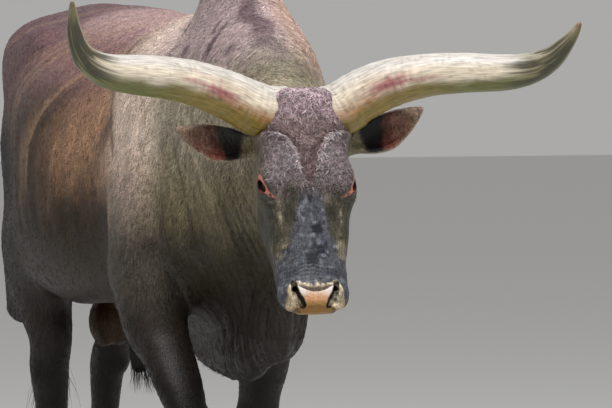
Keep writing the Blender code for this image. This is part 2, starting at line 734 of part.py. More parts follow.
def skin_of(name, forms, low, high, step, triangles):
    """The surface of the forms inside a box, thinned to about that many triangles."""
    counts = [math.ceil((b - a) / step) + 1 for a, b in zip(low, high)]
    field = np.full(counts, 0.1, np.float32)
    axes = [a + step * np.arange(n) for a, n in zip(low, counts)]
    for form in forms:
        margin = form.blend + 3 * step
        spans = []
        for k in range(3):
            first = int(np.searchsorted(axes[k], form.low[k] - margin))
            last = int(np.searchsorted(axes[k], form.high[k] + margin))
            spans.append(slice(first, last))
        if any(span.stop <= span.start for span in spans):
            continue
        window = tuple(spans)
        grid = np.stack(np.meshgrid(*(axes[k][spans[k]] for k in range(3)), indexing="ij"), -1)
        away = form.distance(grid)
        if form.carve:
            field[window] = -blended(-field[window], away, form.blend)
        else:
            field[window] = blended(field[window], away, form.blend)
    for k in range(3):
        edge = [slice(None)] * 3
        for end in (0, -1):
            edge[k] = end
            field[tuple(edge)] = np.maximum(field[tuple(edge)], 0.5 * step)
    volume = openvdb.FloatGrid(0.1)
    volume.copyFromArray(field)
    points, tris, quads = volume.convertToPolygons(isovalue=0.0)
    mesh = bpy.data.meshes.new(name)
    faces = [tuple(int(i) for i in face) for face in [*tris, *quads]]
    mesh.from_pydata((points * step + np.array(low)).tolist(), [], faces)
    skin = add(name, mesh)
    keep_largest(skin)
    thin = skin.modifiers.new("thin", "DECIMATE")
    thin.ratio = min(1.0, triangles / (2 * len(skin.data.polygons)))
    apply_modifiers(skin)
    return skin


def add(name, mesh):
    piece = bpy.data.objects.new(name, mesh)
    bpy.context.scene.collection.objects.link(piece)
    return piece


def apply_modifiers(piece):
    """Makes what the modifiers give the piece's own mesh."""
    graph = bpy.context.evaluated_depsgraph_get()
    mesh = bpy.data.meshes.new_from_object(piece.evaluated_get(graph))
    piece.modifiers.clear()
    old, piece.data = piece.data, mesh
    bpy.data.meshes.remove(old)


def islands(work):
    """The connected groups of a bmesh's faces."""
    left, groups = set(work.faces), []
    while left:
        group, edge = [], [left.pop()]
        while edge:
            face = edge.pop()
            group.append(face)
            for side in face.edges:
                for near in side.link_faces:
                    if near in left:
                        left.discard(near)
                        edge.append(near)
        groups.append(group)
    return groups


def island_size(group):
    """The room that a group of faces spans."""
    points = [v.co for face in group for v in face.verts]
    spans = [max(p[k] for p in points) - min(p[k] for p in points) for k in range(3)]
    return spans[0] * spans[1] * spans[2]


def keep_largest(piece):
    """Drops all but the largest closed surface of a piece."""
    work = bmesh.new()
    work.from_mesh(piece.data)
    groups = sorted(islands(work), key=island_size)
    scraps = [face for group in groups[:-1] for face in group]
    bmesh.ops.delete(work, geom=scraps, context="FACES")
    work.to_mesh(piece.data)
    work.free()


def boolean(piece, other, operation, solver="EXACT"):
    """Joins to a piece, or cuts from it, another object, which is then removed."""
    change = piece.modifiers.new("change", "BOOLEAN")
    change.operation = operation
    change.object = other
    change.solver = solver
    apply_modifiers(piece)
    mesh = other.data
    bpy.data.objects.remove(other)
    bpy.data.meshes.remove(mesh)


def block(frame, size):
    """A box of that size, centred on a frame."""
    work = bmesh.new()
    bmesh.ops.create_cube(work, size=1.0, matrix=frame @ Matrix.Diagonal((*size, 1.0)))
    mesh = bpy.data.meshes.new("block")
    work.to_mesh(mesh)
    work.free()
    return add("block", mesh)


def facing(at, normal):
    """A frame at a point whose Z is the normal."""
    turn = Vector(normal).to_track_quat("Z", "Y").to_matrix().to_4x4()
    return Matrix.Translation(at) @ turn


def prism(view, outline, span, grown):
    """A solid with an outline in a view, over a span of the third axis, grown on every side."""
    rings = []
    for end in (span[0] - grown, span[1] + grown):
        ring = []
        for k, spot in enumerate(outline):
            before, after = Vector(outline[k - 1]), Vector(outline[(k + 1) % len(outline)])
            spot = Vector(spot)
            first, second = (spot - before).normalized(), (after - spot).normalized()
            out_first, out_second = Vector((first.y, -first.x)), Vector((second.y, -second.x))
            shift = (out_first + out_second) / (1 + out_first.dot(out_second))
            a, b = spot + shift * grown
            ring.append(Vector((a, end, b)) if view == "front" else Vector((end, a, b)))
        rings.append(ring)
    return loft("prism", rings)


def ear_room(frame, grown):
    """The block that an ear takes of the head, grown on every side."""
    return block(frame, [size + 2 * grown for size in EAR_ROOM])


def take(body, name, room):
    """Takes from the body what lies in a room, as a piece of its own, and leaves a thin gap."""
    piece = add(name, body.data.copy())
    boolean(piece, room(0.0), "INTERSECT")
    boolean(body, room(GAP), "DIFFERENCE")
    keep_largest(piece)
    return piece


def cut_beyond(piece, at, normal, size):
    """Cuts off a piece all that lies beyond a plane, as far as the size reaches."""
    frame = facing(at, normal) @ Matrix.Translation((0.0, 0.0, size[2] / 2))
    boolean(piece, block(frame, size), "DIFFERENCE")


def loft(name, rings):
    """A closed solid through rings of points, each ring with the same count."""
    work = bmesh.new()
    rows = [[work.verts.new(spot) for spot in ring] for ring in rings]
    count = len(rows[0])
    for lower, upper in zip(rows, rows[1:]):
        for i in range(count):
            j = (i + 1) % count
            work.faces.new((lower[i], lower[j], upper[j], upper[i]))
    work.faces.new(rows[0][::-1])
    work.faces.new(rows[-1])
    bmesh.ops.recalc_face_normals(work, faces=work.faces)
    bmesh.ops.triangulate(work, faces=work.faces)
    mesh = bpy.data.meshes.new(name)
    work.to_mesh(mesh)
    work.free()
    return add(name, mesh)


def tube_rings(spots, widths, depths, across, sides):
    """Oval rings square to a curve. across tells which way the width lies."""
    rings = []
    for i, spot in enumerate(spots):
        ahead = spots[min(i + 1, len(spots) - 1)] - spots[max(i - 1, 0)]
        ahead.normalize()
        wide = (across - ahead * across.dot(ahead)).normalized()
        deep = ahead.cross(wide)
        ring = []
        for k in range(sides):
            turn = 2 * math.pi * k / sides
            ring.append(spot + wide * widths[i] * math.cos(turn) + deep * depths[i] * math.sin(turn))
        rings.append(ring)
    return rings


def horn(side, grown=0.0):
    """One horn, or with grown the room that it takes in the head."""
    rows = HORN_LEFT if side == LEFT else HORN_RIGHT
    upright = Matrix.Translation(POLL) @ Matrix.Rotation(HORN_YAW, 4, "Z")
    steps = [float(k) for k in range(len(rows))]
    _, (out, up, ahead, thick) = eased([(k, *row) for k, row in zip(steps, rows)], 24)
    spots = [upright @ Vector((side * a, -c, b)) for a, b, c in zip(out, up, ahead)]
    if grown:
        spots[0] += (spots[0] - spots[1]).normalized() * grown
    reach = [max(t, 0.006) / 2 + grown for t in thick]
    rings = tube_rings(spots, reach, reach, Vector((0.0, -1.0, 0.0)), HORN_SIDES)
    return loft(f"horn_{'left' if side == LEFT else 'right'}", rings)


def ball(name, frame, radii, fineness):
    """A ball or an egg in a frame, with its three radii."""
    work = bmesh.new()
    matrix = frame @ Matrix.Diagonal((*radii, 1.0))
    bmesh.ops.create_icosphere(work, subdivisions=fineness, radius=1.0, matrix=matrix)
    mesh = bpy.data.meshes.new(name)
    work.to_mesh(mesh)
    work.free()
    return add(name, mesh)


def claw(name, foot, side, coronet):
    """One claw on its flat sole, up to the coronet's plane. side is its side of the hoof."""
    at, normal = coronet
    rings = []
    for share in (0.0, 0.08, 0.5, 1.0):
        bevel = 0.96 if share == 0.0 else 1.0
        wide = bevel * (1.0 + (CLAW_TOP[0] - 1.0) * share)
        long = bevel * (1.0 + (CLAW_TOP[1] - 1.0) * share)
        ring = []
        for x, y in CLAW_OUTLINE:
            across = foot.x + side * (0.003 + x * wide)
            back = foot.y + y * long + CLAW_RAKE * share
            top = at.z - (normal.x * (across - at.x) + normal.y * (back - at.y)) / normal.z
            ring.append(Vector((across, back, share * (top - GAP))))
        rings.append(ring)
    return loft(name, rings)


def lock(spots, width, depth, across, rng):
    """One flat lock of hair, full near its root and drawn to a fine end."""
    swell = (0.55, 1.0, 0.92, 0.62, 0.16)
    bend = rng.uniform(-0.3, 0.3)
    lie = (across + Vector((0.0, 0.0, bend))).normalized()
    rings = tube_rings(spots, [width * k for k in swell], [depth * k for k in swell], lie, 5)
    return loft("lock", rings)


def tuft(name, root, reach, spread, flare, count, lock_size):
    """A bunch of hanging locks, fused into one solid and cut level at its root."""
    rng = random.Random(SEED)
    down = Vector((0.0, 0.0, -1.0))
    core_spots = [root + down * (k * reach * 0.2 - 0.03) for k in range(4)]
    core_reach = [spread * share for share in (0.9, 1.0, 0.8, 0.3)]
    core = loft(name, tube_rings(core_spots, core_reach, core_reach, Vector((1, 0, 0)), 8))
    for k in range(count):
        turn = 2 * math.pi * (k + rng.uniform(-0.2, 0.2)) / count
        out = Vector((math.cos(turn), math.sin(turn), 0.0))
        layer = k % 3
        start = root + out * spread * 0.35 + down * reach * 0.10 * layer
        length = reach * rng.uniform(0.72, 1.0) - reach * 0.10 * layer
        swell = spread * flare * rng.uniform(0.7, 1.25)
        spots = []
        for t in (0.0, 0.2, 0.5, 0.8, 1.0):
            swing = out * swell * math.sin(math.pi * min(t * 1.3, 1.0) * 0.62)
            sway = down.cross(out) * spread * rng.uniform(-0.25, 0.25) * t
            spots.append(start + swing + sway + down * length * t)
        boolean(core, lock(spots, *lock_size, down.cross(out), rng), "UNION")
    cut_beyond(core, root + down * GAP, -down, (0.3, 0.3, 0.3))
    keep_largest(core)
    return core


def seat(host, part_room):
    """Cuts the room of a part out of its host."""
    boolean(host, part_room, "DIFFERENCE")


def finish(piece, look):
    """Gives a piece its own material and shades its round faces smooth."""
    name, colour, roughness = look
    material = bpy.data.materials.new(f"{piece.name}_{name}")
    material.use_nodes = True
    shader = material.node_tree.nodes["Principled BSDF"]
    shader.inputs["Base Color"].default_value = (*colour, 1.0)
    shader.inputs["Roughness"].default_value = roughness
    material.diffuse_color = (*colour, 1.0)
    piece.data.materials.clear()
    piece.data.materials.append(material)
    piece.data.shade_smooth()
    piece.data.set_sharp_from_angle(angle=SHARP)


def clear_scene():
    for old in list(bpy.data.objects):
        bpy.data.objects.remove(old)


def leg_line(name, height):
    """The point of a leg's middle line at a height."""
    heights, line = eased(LEG_LINES[name])
    x, y = (float(np.interp(height, heights, column)) for column in line)
    return Vector((x, y, height))


def coronet_of(name):
    """The point and the downward normal of the plane where the claws begin."""
    return leg_line(name, CORONET_HEIGHT), Vector((0.0, -CORONET_SLOPE, -1.0)).normalized()


def build():
    clear_scene()
    pieces = []
    forms = body_forms() + full_head_forms()
    body = skin_of("torso", forms, *BODY_BOX, BODY_STEP, BODY_TRIANGLES)
    head = skin_of("head", forms, *HEAD_BOX, HEAD_STEP, HEAD_TRIANGLES)
    away = Vector(NECK_PLANE[1]).normalized()
    at = Vector(NECK_PLANE[0])
    cut_beyond(body, at - away * GAP / 2, away, (1.2, 1.2, 1.0))
    cut_beyond(head, at + away * GAP / 2, -away, (1.2, 1.2, 1.0))
    keep_largest(body)
    keep_largest(head)
    for side, label in SIDES:
        frame = ear_frame(side) @ Matrix.Translation((0.0, 0.0, EAR_CUT + EAR_ROOM[2] / 2))
        room = partial(ear_room, frame)
        pieces.append((take(head, f"ear_{label}", room), HIDE))
    for name, view, outline, span, look in SHARES:
        room = partial(prism, view, outline, span)
        pieces.append((take(body, name, room), look))
    keep_largest(body)
    by_name = {piece.name: piece for piece, _ in pieces}
    for side, label in SIDES:
        seat(head, horn(side, GAP))
        seat(by_name[f"ear_{label}"], horn(side, GAP))
        pieces.append((horn(side), HORN))
        eye = eye_frame(side)
        seat(head, ball("room", eye, [EYE_RADIUS + GAP] * 3, 3))
        pieces.append((ball(f"eye_{label}", eye, [EYE_RADIUS] * 3, 3), EYE))
    keep_largest(head)
    for name in LEG_LINES:
        leg = by_name[name]
        at, normal = coronet_of(name)
        cut_beyond(leg, at, normal, (0.4, 0.4, 0.3))
        keep_largest(leg)
        sole = Vector((at.x, at.y, 0.0))
        for side, label in ((1, "a"), (-1, "b")):
            pieces.append((claw(f"{name}_claw_{label}", sole, side, (at, normal)), CLAW))
            beside = Vector((side * DEWCLAW_SPOT[0], DEWCLAW_SPOT[1], 0.0))
            spot = leg_line(name, DEWCLAW_HEIGHT) + beside
            frame = Matrix.Translation(spot) @ Matrix.Rotation(math.radians(-35), 4, "X")
            seat(leg, ball("room", frame, [r + GAP for r in DEWCLAW], 2))
            pieces.append((ball(f"{name}_dewclaw_{label}", frame, DEWCLAW, 2), CLAW))
        keep_largest(leg)
    for name, spot, hair_name, hair in (
        ("tail", TAIL_END, "tail_switch", SWITCH),
        ("sheath", SHEATH_END, "sheath_tuft", SHEATH_HAIR),
    ):
        end = Vector(spot)
        cut_beyond(by_name[name], end, Vector((0, 0, -1)), (0.3, 0.3, 0.3))
        keep_largest(by_name[name])
        pieces.append((tuft(hair_name, end, *hair), HAIR))
    pieces += [(body, HIDE), (head, HIDE)]
    for piece, look in pieces:
        finish(piece, look)
        piece.data.transform(Matrix.Translation((*SHIFT, 0.0)))


build()
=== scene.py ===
"""Looks of the Ankole Watusi bull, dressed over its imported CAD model.

One skin takes the place of the pieces of flesh. It is the surface of the same field of soft forms as
in the CAD source, sampled finer and a coat's depth further in, with wrinkles and folds added. Over
it lie tufts of hair. Lengths are in metres. Until the last step all is in the body's own frame,
whose origin is under the middle of the trunk: the bull faces -Y and its own left is +X.
"""

import json
import math
from collections import namedtuple
from itertools import product

import bmesh
import bpy
import numpy as np
import openvdb
from mathutils import Matrix, Vector
from mathutils.bvhtree import BVHTree

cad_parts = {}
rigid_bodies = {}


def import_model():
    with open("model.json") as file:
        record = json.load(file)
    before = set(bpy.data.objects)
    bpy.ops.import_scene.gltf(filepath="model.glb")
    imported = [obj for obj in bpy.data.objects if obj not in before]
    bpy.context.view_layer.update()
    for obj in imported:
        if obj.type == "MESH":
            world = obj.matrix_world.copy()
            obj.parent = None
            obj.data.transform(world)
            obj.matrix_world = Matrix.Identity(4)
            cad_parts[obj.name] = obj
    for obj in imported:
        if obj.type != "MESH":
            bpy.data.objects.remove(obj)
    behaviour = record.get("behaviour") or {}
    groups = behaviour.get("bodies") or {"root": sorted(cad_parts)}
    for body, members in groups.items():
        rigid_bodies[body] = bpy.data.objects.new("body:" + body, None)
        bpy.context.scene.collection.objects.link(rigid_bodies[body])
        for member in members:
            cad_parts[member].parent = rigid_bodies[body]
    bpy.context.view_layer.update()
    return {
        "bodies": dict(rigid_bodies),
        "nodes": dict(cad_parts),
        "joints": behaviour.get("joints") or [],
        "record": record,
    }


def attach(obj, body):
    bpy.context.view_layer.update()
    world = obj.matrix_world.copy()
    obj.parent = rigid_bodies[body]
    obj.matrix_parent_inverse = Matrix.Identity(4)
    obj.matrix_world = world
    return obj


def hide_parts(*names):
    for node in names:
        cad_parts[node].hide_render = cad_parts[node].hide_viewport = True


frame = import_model()

SHIFT = Vector((0.086, 0.061, 0.0))
RNG = np.random.default_rng(11)

# How finely the skin is sampled, and how deep under the coat it lies
BODY_STEP = 0.0076
HEAD_STEP = 0.0028
BODY_DEPTH = 0.0030
HEAD_DEPTH = 0.0012
TUFT_SHARE = 1.0

POLL = Vector((-0.080, -1.080, 1.222))
HEAD_TURN = (
    Matrix.Rotation(math.radians(-10.5), 4, "Z")
    @ Matrix.Rotation(math.radians(-0.5), 4, "Y")
    @ Matrix.Rotation(math.radians(-20.0), 4, "X")
)
HEAD = Matrix.Translation(POLL) @ HEAD_TURN
HORN_YAW = math.radians(-8.0)
LEFT, RIGHT = 1, -1
SIDES = ((LEFT, "left"), (RIGHT, "right"))

EYE_AT = Vector((0.080, 0.048, -0.198))
EYE_RADIUS = 0.0222
LID_WIDE, LID_TALL = 0.0285, 0.0135
NOSTRIL = (
    (0.0465, 0.000, -0.438),
    (0.0450, 0.000, -0.450),
    (0.0410, 0.002, -0.463),
    (0.0340, 0.008, -0.475),
    (0.0280, 0.012, -0.484),
)
NOSTRIL_RADII = (0.0030, 0.0040, 0.0050, 0.0060, 0.0040)
# Start, end and radii of each stretch of a nostril, filled in by face_cuts
NOSTRIL_LINES = []
MOUTH_MIDDLE = Vector((0.0, 0.080, -0.448))
MOUTH_PLANE = Vector((0.0, -0.520, -0.855))
MOUTH_TURNS = (-28.0, -8.0, 12.0, 32.0, 52.0, 72.0, 90.0)
# The inner edge of each brow pad, from the temple to the middle: down the head, and sideways
BROW_EDGE = (
    (-0.235, 0.000),
    (-0.200, 0.011),
    (-0.183, 0.018),
    (-0.165, 0.0185),
    (-0.145, 0.0225),
    (-0.129, 0.028),
    (-0.117, 0.036),
    (-0.105, 0.041),
    (-0.094, 0.047),
    (-0.082, 0.070),
    (-0.074, 0.090),
    (-0.068, 0.130),
)
# The side edge of the pad of the nose: down the head, and sideways
PAD_EDGE = (
    (-0.500, 0.050),
    (-0.490, 0.046),
    (-0.484, 0.027),
    (-0.474, 0.033),
    (-0.462, 0.040),
    (-0.450, 0.0435),
    (-0.436, 0.046),
)
EAR_ROOT = Vector((0.096, 0.126, -0.078))
EAR_SHIFT = {LEFT: Vector((0.010, 0.0, 0.0)), RIGHT: Vector()}
EAR_RISE = {LEFT: 22, RIGHT: 9}
# Slices of an ear up from its root: place, bend, level, half width, and how thick behind and ahead
EAR = (
    (-0.030, 0.0, 0.010, 0.022, 0.024, 0.024),
    (0.020, 0.002, 0.010, 0.027, 0.024, 0.024),
    (0.055, 0.006, 0.008, 0.039, 0.019, 0.022),
    (0.095, 0.008, 0.004, 0.043, 0.015, 0.018),
    (0.135, 0.003, 0.000, 0.034, 0.011, 0.013),
    (0.170, -0.003, 0.000, 0.019, 0.009, 0.009),
    (0.192, -0.008, 0.000, 0.005, 0.004, 0.004),
)

TRUNK = (
    (-0.68, 1.02, 0.84, 0.06, 0.94),
    (-0.62, 1.13, 0.76, 0.12, 0.95),
    (-0.50, 1.28, 0.69, 0.175, 0.95),
    (-0.30, 1.370, 0.650, 0.215, 0.95),
    (-0.05, 1.380, 0.655, 0.262, 0.96),
    (0.25, 1.395, 0.680, 0.328, 0.97),
    (0.50, 1.405, 0.730, 0.318, 1.02),
    (0.68, 1.408, 0.820, 0.262, 1.13),
    (0.86, 1.402, 0.930, 0.204, 1.19),
    (0.97, 1.352, 1.030, 0.152, 1.21),
    (1.02, 1.285, 1.120, 0.086, 1.21),
)
NECK = (
    (-1.03, -0.070, 1.185, 0.985, 0.072, 1.08),
    (-0.95, -0.060, 1.218, 0.925, 0.090, 1.07),
    (-0.85, -0.048, 1.255, 0.880, 0.106, 1.06),
    (-0.72, -0.030, 1.322, 0.830, 0.138, 1.06),
    (-0.60, -0.014, 1.385, 0.775, 0.166, 1.05),
    (-0.48, -0.003, 1.420, 0.730, 0.188, 1.04),
    (-0.34, 0.000, 1.420, 0.700, 0.196, 1.02),
)
DEWLAP = (
    (-0.965, -0.066, 0.985, 0.900, 0.020, 0.940),
    (-0.900, -0.055, 0.990, 0.800, 0.026, 0.900),
    (-0.840, -0.045, 0.980, 0.660, 0.032, 0.800),
    (-0.780, -0.030, 0.960, 0.618, 0.042, 0.740),
    (-0.660, -0.018, 0.930, 0.598, 0.052, 0.700),
    (-0.500, -0.012, 0.880, 0.556, 0.056, 0.690),
    (-0.340, -0.014, 0.860, 0.538, 0.052, 0.680),
    (-0.200, -0.014, 0.820, 0.545, 0.044, 0.680),
    (-0.080, -0.012, 0.780, 0.560, 0.040, 0.690),
    (0.060, -0.010, 0.760, 0.610, 0.040, 0.690),
)
FORE_GIRTH = (
    (1.04, 0.012, 0.020, 0.020),
    (1.00, 0.034, 0.055, 0.055),
    (0.92, 0.060, 0.090, 0.090),
    (0.80, 0.076, 0.098, 0.100),
    (0.72, 0.077, 0.090, 0.088),
    (0.62, 0.068, 0.074, 0.064),
    (0.53, 0.059, 0.062, 0.053),
    (0.47, 0.052, 0.054, 0.048),
    (0.42, 0.055, 0.060, 0.047),
    (0.37, 0.047, 0.050, 0.045),
    (0.32, 0.037, 0.038, 0.040),
    (0.25, 0.034, 0.034, 0.040),
    (0.19, 0.042, 0.040, 0.048),
    (0.16, 0.046, 0.044, 0.050),
    (0.12, 0.042, 0.046, 0.042),
    (0.08, 0.050, 0.056, 0.047),
    (0.04, 0.052, 0.060, 0.049),
)
HIND_GIRTH = (
    (1.16, 0.014, 0.020, 0.030),
    (1.10, 0.050, 0.080, 0.090),
    (1.02, 0.070, 0.130, 0.150),
    (0.94, 0.080, 0.150, 0.160),
    (0.85, 0.088, 0.150, 0.145),
    (0.75, 0.082, 0.126, 0.120),
    (0.66, 0.068, 0.094, 0.092),
    (0.58, 0.052, 0.064, 0.078),
    (0.51, 0.048, 0.055, 0.072),
    (0.45, 0.044, 0.050, 0.056),
    (0.38, 0.038, 0.040, 0.045),
    (0.27, 0.034, 0.035, 0.041),
    (0.20, 0.041, 0.040, 0.047),
    (0.16, 0.045, 0.044, 0.050),
    (0.12, 0.042, 0.047, 0.042),
    (0.08, 0.050, 0.056, 0.047),
    (0.04, 0.052, 0.060, 0.049),
)
LEG_LINES = {
    "foreleg_right": (
        (1.04, -0.170, -0.290),
        (0.90, -0.206, -0.315),
        (0.72, -0.219, -0.338),
        (0.62, -0.206, -0.410),
        (0.52, -0.190, -0.486),
        (0.42, -0.176, -0.542),
        (0.30, -0.178, -0.566),
        (0.17, -0.179, -0.592),
        (0.04, -0.182, -0.640),
    ),
    "foreleg_left": (
        (1.04, 0.160, -0.330),
        (0.90, 0.172, -0.300),
        (0.80, 0.160, -0.235),
        (0.72, 0.143, -0.180),
        (0.62, 0.139, -0.122),
        (0.52, 0.139, -0.076),
        (0.42, 0.134, -0.040),
        (0.30, 0.130, 0.000),
        (0.17, 0.126, 0.055),
        (0.04, 0.127, 0.005),
    ),
    "hindleg_right": (
        (1.16, -0.140, 0.720),
        (1.02, -0.165, 0.680),
        (0.85, -0.212, 0.640),
        (0.75, -0.217, 0.622),
        (0.66, -0.213, 0.598),
        (0.58, -0.206, 0.560),
        (0.51, -0.204, 0.575),
        (0.38, -0.200, 0.560),
        (0.17, -0.194, 0.492),
        (0.04, -0.190, 0.438),
    ),
    "hindleg_left": (
        (1.16, 0.140, 0.720),
        (1.02, 0.160, 0.700),
        (0.85, 0.172, 0.755),
        (0.75, 0.156, 0.840),
        (0.66, 0.134, 0.945),
        (0.58, 0.117, 1.045),
        (0.51, 0.108, 1.110),
        (0.38, 0.106, 1.150),
        (0.17, 0.107, 1.188),
        (0.04, 0.108, 1.135),
    ),
}
TAIL = (
    (1.325, 0.000, 0.995, 0.030, 0.060, 0.030),
    (1.270, -0.002, 1.043, 0.028, 0.040, 0.028),
    (1.180, -0.012, 1.066, 0.022, 0.024, 0.024),
    (1.000, -0.038, 1.070, 0.017, 0.018, 0.018),
    (0.800, -0.058, 1.068, 0.013, 0.014, 0.014),
    (0.640, -0.066, 1.066, 0.011, 0.012, 0.012),
)
SKULL = (
    (0.014, 0.0, 0.085, 0.066, 0.055, 0.050),
    (-0.020, 0.0, 0.100, 0.092, 0.090, 0.092),
    (-0.080, 0.0, 0.105, 0.103, 0.125, 0.106),
    (-0.140, 0.0, 0.105, 0.103, 0.130, 0.108),
    (-0.200, 0.0, 0.098, 0.098, 0.130, 0.099),
    (-0.250, 0.0, 0.090, 0.088, 0.120, 0.085),
    (-0.310, 0.0, 0.080, 0.081, 0.105, 0.072),
    (-0.370, 0.0, 0.072, 0.080, 0.090, 0.065),
    (-0.425, 0.0, 0.062, 0.079, 0.070, 0.060),
    (-0.460, 0.0, 0.056, 0.073, 0.058, 0.057),
    (-0.484, 0.0, 0.048, 0.058, 0.012, 0.042),
    (-0.496, 0.0, 0.040, 0.040, 0.008, 0.016),
)
JAW = (
    (-0.030, 0.0, 0.160, 0.060, 0.045, 0.060),
    (-0.090, 0.0, 0.170, 0.090, 0.066, 0.080),
    (-0.160, 0.0, 0.165, 0.096, 0.088, 0.080),
    (-0.230, 0.0, 0.152, 0.095, 0.090, 0.075),
    (-0.300, 0.0, 0.136, 0.090, 0.078, 0.065),
    (-0.360, 0.0, 0.124, 0.077, 0.064, 0.050),
    (-0.420, 0.0, 0.114, 0.066, 0.052, 0.044),
    (-0.448, 0.0, 0.108, 0.058, 0.042, 0.040),
    (-0.466, 0.0, 0.100, 0.044, 0.026, 0.030),
    (-0.474, 0.0, 0.094, 0.028, 0.012, 0.018),
)
# Ovals of the head: centre, radii and blend, first those in its middle, then those on both sides
HEAD_MIDDLES = (
    ((0.0, 0.046, -0.449), (0.074, 0.048, 0.040), 0.02),
    ((0.0, 0.030, -0.472), (0.046, 0.030, 0.022), 0.012),
    ((0.0, 0.050, -0.004), (0.070, 0.056, 0.030), 0.03),
)
HEAD_PAIRS = (
    ((0.056, 0.016, -0.172), (0.036, 0.018, 0.052), 0.014),
    ((0.080, 0.052, -0.202), (0.032, 0.044, 0.056), 0.025),
    ((0.067, 0.150, -0.205), (0.034, 0.072, 0.090), 0.03),
    ((0.060, 0.066, -0.285), (0.028, 0.034, 0.070), 0.03),
    ((0.058, 0.032, -0.458), (0.020, 0.028, 0.031), 0.010),
    ((0.036, 0.030, 0.000), (0.026, 0.030, 0.022), 0.012),
    ((0.072, 0.090, -0.050), (0.036, 0.052, 0.048), 0.02),
)
HORN_RIGHT = (
    (0.035, -0.040, -0.075, 0.118),
    (0.090, -0.036, -0.060, 0.120),
    (0.165, -0.003, -0.030, 0.110),
    (0.240, 0.024, 0.005, 0.102),
    (0.317, 0.040, 0.040, 0.095),
    (0.395, 0.048, 0.072, 0.089),
    (0.453, 0.056, 0.092, 0.078),
    (0.499, 0.077, 0.112, 0.062),
    (0.526, 0.109, 0.135, 0.046),
    (0.541, 0.149, 0.160, 0.034),
    (0.547, 0.187, 0.182, 0.021),
    (0.550, 0.212, 0.195, 0.008),
)
HORN_LEFT = (
    (0.035, -0.045, -0.075, 0.118),
    (0.090, -0.034, -0.060, 0.122),
    (0.128, -0.007, -0.046, 0.119),
    (0.190, 0.024, -0.018, 0.111),
    (0.272, 0.043, 0.020, 0.098),
    (0.352, 0.049, 0.055, 0.090),
    (0.430, 0.050, 0.090, 0.083),
    (0.486, 0.059, 0.115, 0.072),
    (0.528, 0.081, 0.140, 0.056),
    (0.557, 0.114, 0.165, 0.038),
    (0.575, 0.143, 0.185, 0.022),
    (0.584, 0.163, 0.197, 0.008),
)
HORN_ROWS, HORN_SIDES = 170, 56
HORN_TIP = 0.0075
CLAW_OUTLINE = (
    (0.001, -0.082),
    (0.010, -0.092),
    (0.022, -0.086),
    (0.040, -0.056),
    (0.052, -0.018),
    (0.054, 0.016),
    (0.048, 0.042),
    (0.034, 0.056),
    (0.016, 0.056),
    (0.003, 0.044),
    (0.000, 0.000),
    (0.000, -0.045),
)
# How wide and how long the outline of a claw still is at its coronet
CLAW_NARROWS, CLAW_SHORTENS = 0.92, 0.70
CORONET_HEIGHT = 0.068
CORONET_SLOPE = 0.25
DEWCLAW = (0.014, 0.014, 0.021)
DEWCLAW_HEIGHT = 0.135
DEWCLAW_SPOT = (0.023, 0.040)
TAIL_END = Vector((-0.065, 1.066, 0.665))
SHEATH_END = Vector((-0.012, 0.440, 0.530))
BODY_BOX = ((-0.44, -1.02, 0.02), (0.44, 1.32, 1.60))
HEAD_BOX = ((-0.42, -1.38, 0.60), (0.26, -0.80, 1.32))
NECK_CUT = (Vector((-0.06, -0.905, 1.06)), Vector((-0.05, -0.985, -0.17)).normalized())

Form = namedtuple("Form", "low high blend carve distance")


# The field of soft forms, as in the CAD source


def eased(rows, count=160):
    """Rows of a table, by their first column, drawn out into a smooth curve."""
    table = np.array(rows, float)
    if table[0, 0] > table[-1, 0]:
        table = table[::-1]
    place, values = table[:, 0], table[:, 1:]
    slopes = np.gradient(values, place, axis=0)
    fine = np.linspace(place[0], place[-1], count)
    index = np.clip(np.searchsorted(place, fine, side="right") - 1, 0, len(place) - 2)
    span = (place[index + 1] - place[index])[:, None]
    t = ((fine - place[index])[:, None]) / span
    start, end = values[index], values[index + 1]
    smooth = (
        (2 * t**3 - 3 * t**2 + 1) * start
        + (t**3 - 2 * t**2 + t) * span * slopes[index]
        + (3 * t**2 - 2 * t**3) * end
        + (t**3 - t**2) * span * slopes[index + 1]
    )
    return fine, smooth.T


def box_of(points, margin):
    """The corners of a box round points, with a margin."""
    points = np.array(points, float)
    return points.min(0) - margin, points.max(0) + margin


def placed(low, high, distance, blend, carve, frame):
    """A form with its box, taken from its own frame into the body's."""
    if frame is None:
        return Form(np.array(low), np.array(high), blend, carve, distance)
    back = np.array(frame.inverted(), float)
    corners = [frame @ Vector(corner) for corner in product(*zip(low, high))]
    world_low, world_high = box_of(corners, 0.0)

    def moved(points):
        return distance(points @ back[:3, :3].T + back[:3, 3])

    return Form(world_low, world_high, blend, carve, moved)


def slices(axis, rows, power=2.0, blend=0.03, frame=None, carve=False):
    """A form of rounded slices along an axis, from rows of place, middle, level, half and reach."""
    place, (middle, level, half, plus, minus) = eased(rows)
    other = 3 - axis
    low, high = np.zeros(3), np.zeros(3)
    low[0], high[0] = (middle - half).min(), (middle + half).max()
    low[other], high[other] = (level - minus).min(), (level + plus).max()
    low[axis], high[axis] = place[0], place[-1]

    def distance(points):
        along = points[..., axis]
        across = points[..., 0] - np.interp(along, place, middle)
        rise = points[..., other] - np.interp(along, place, level)
        width = np.interp(along, place, half)
        reach = np.where(rise > 0, np.interp(along, place, plus), np.interp(along, place, minus))
        a, b = np.abs(across) / width, np.abs(rise) / reach
        size = (a**power + b**power) ** (1 / power) + 1e-6
        slope = size ** (1 - power) * np.hypot(a ** (power - 1) / width, b ** (power - 1) / reach)
        sides = (size - 1) / (slope + 1e-3)
        return np.maximum(sides, np.maximum(place[0] - along, along - place[-1]))

    return placed(low, high, distance, blend, carve, frame)


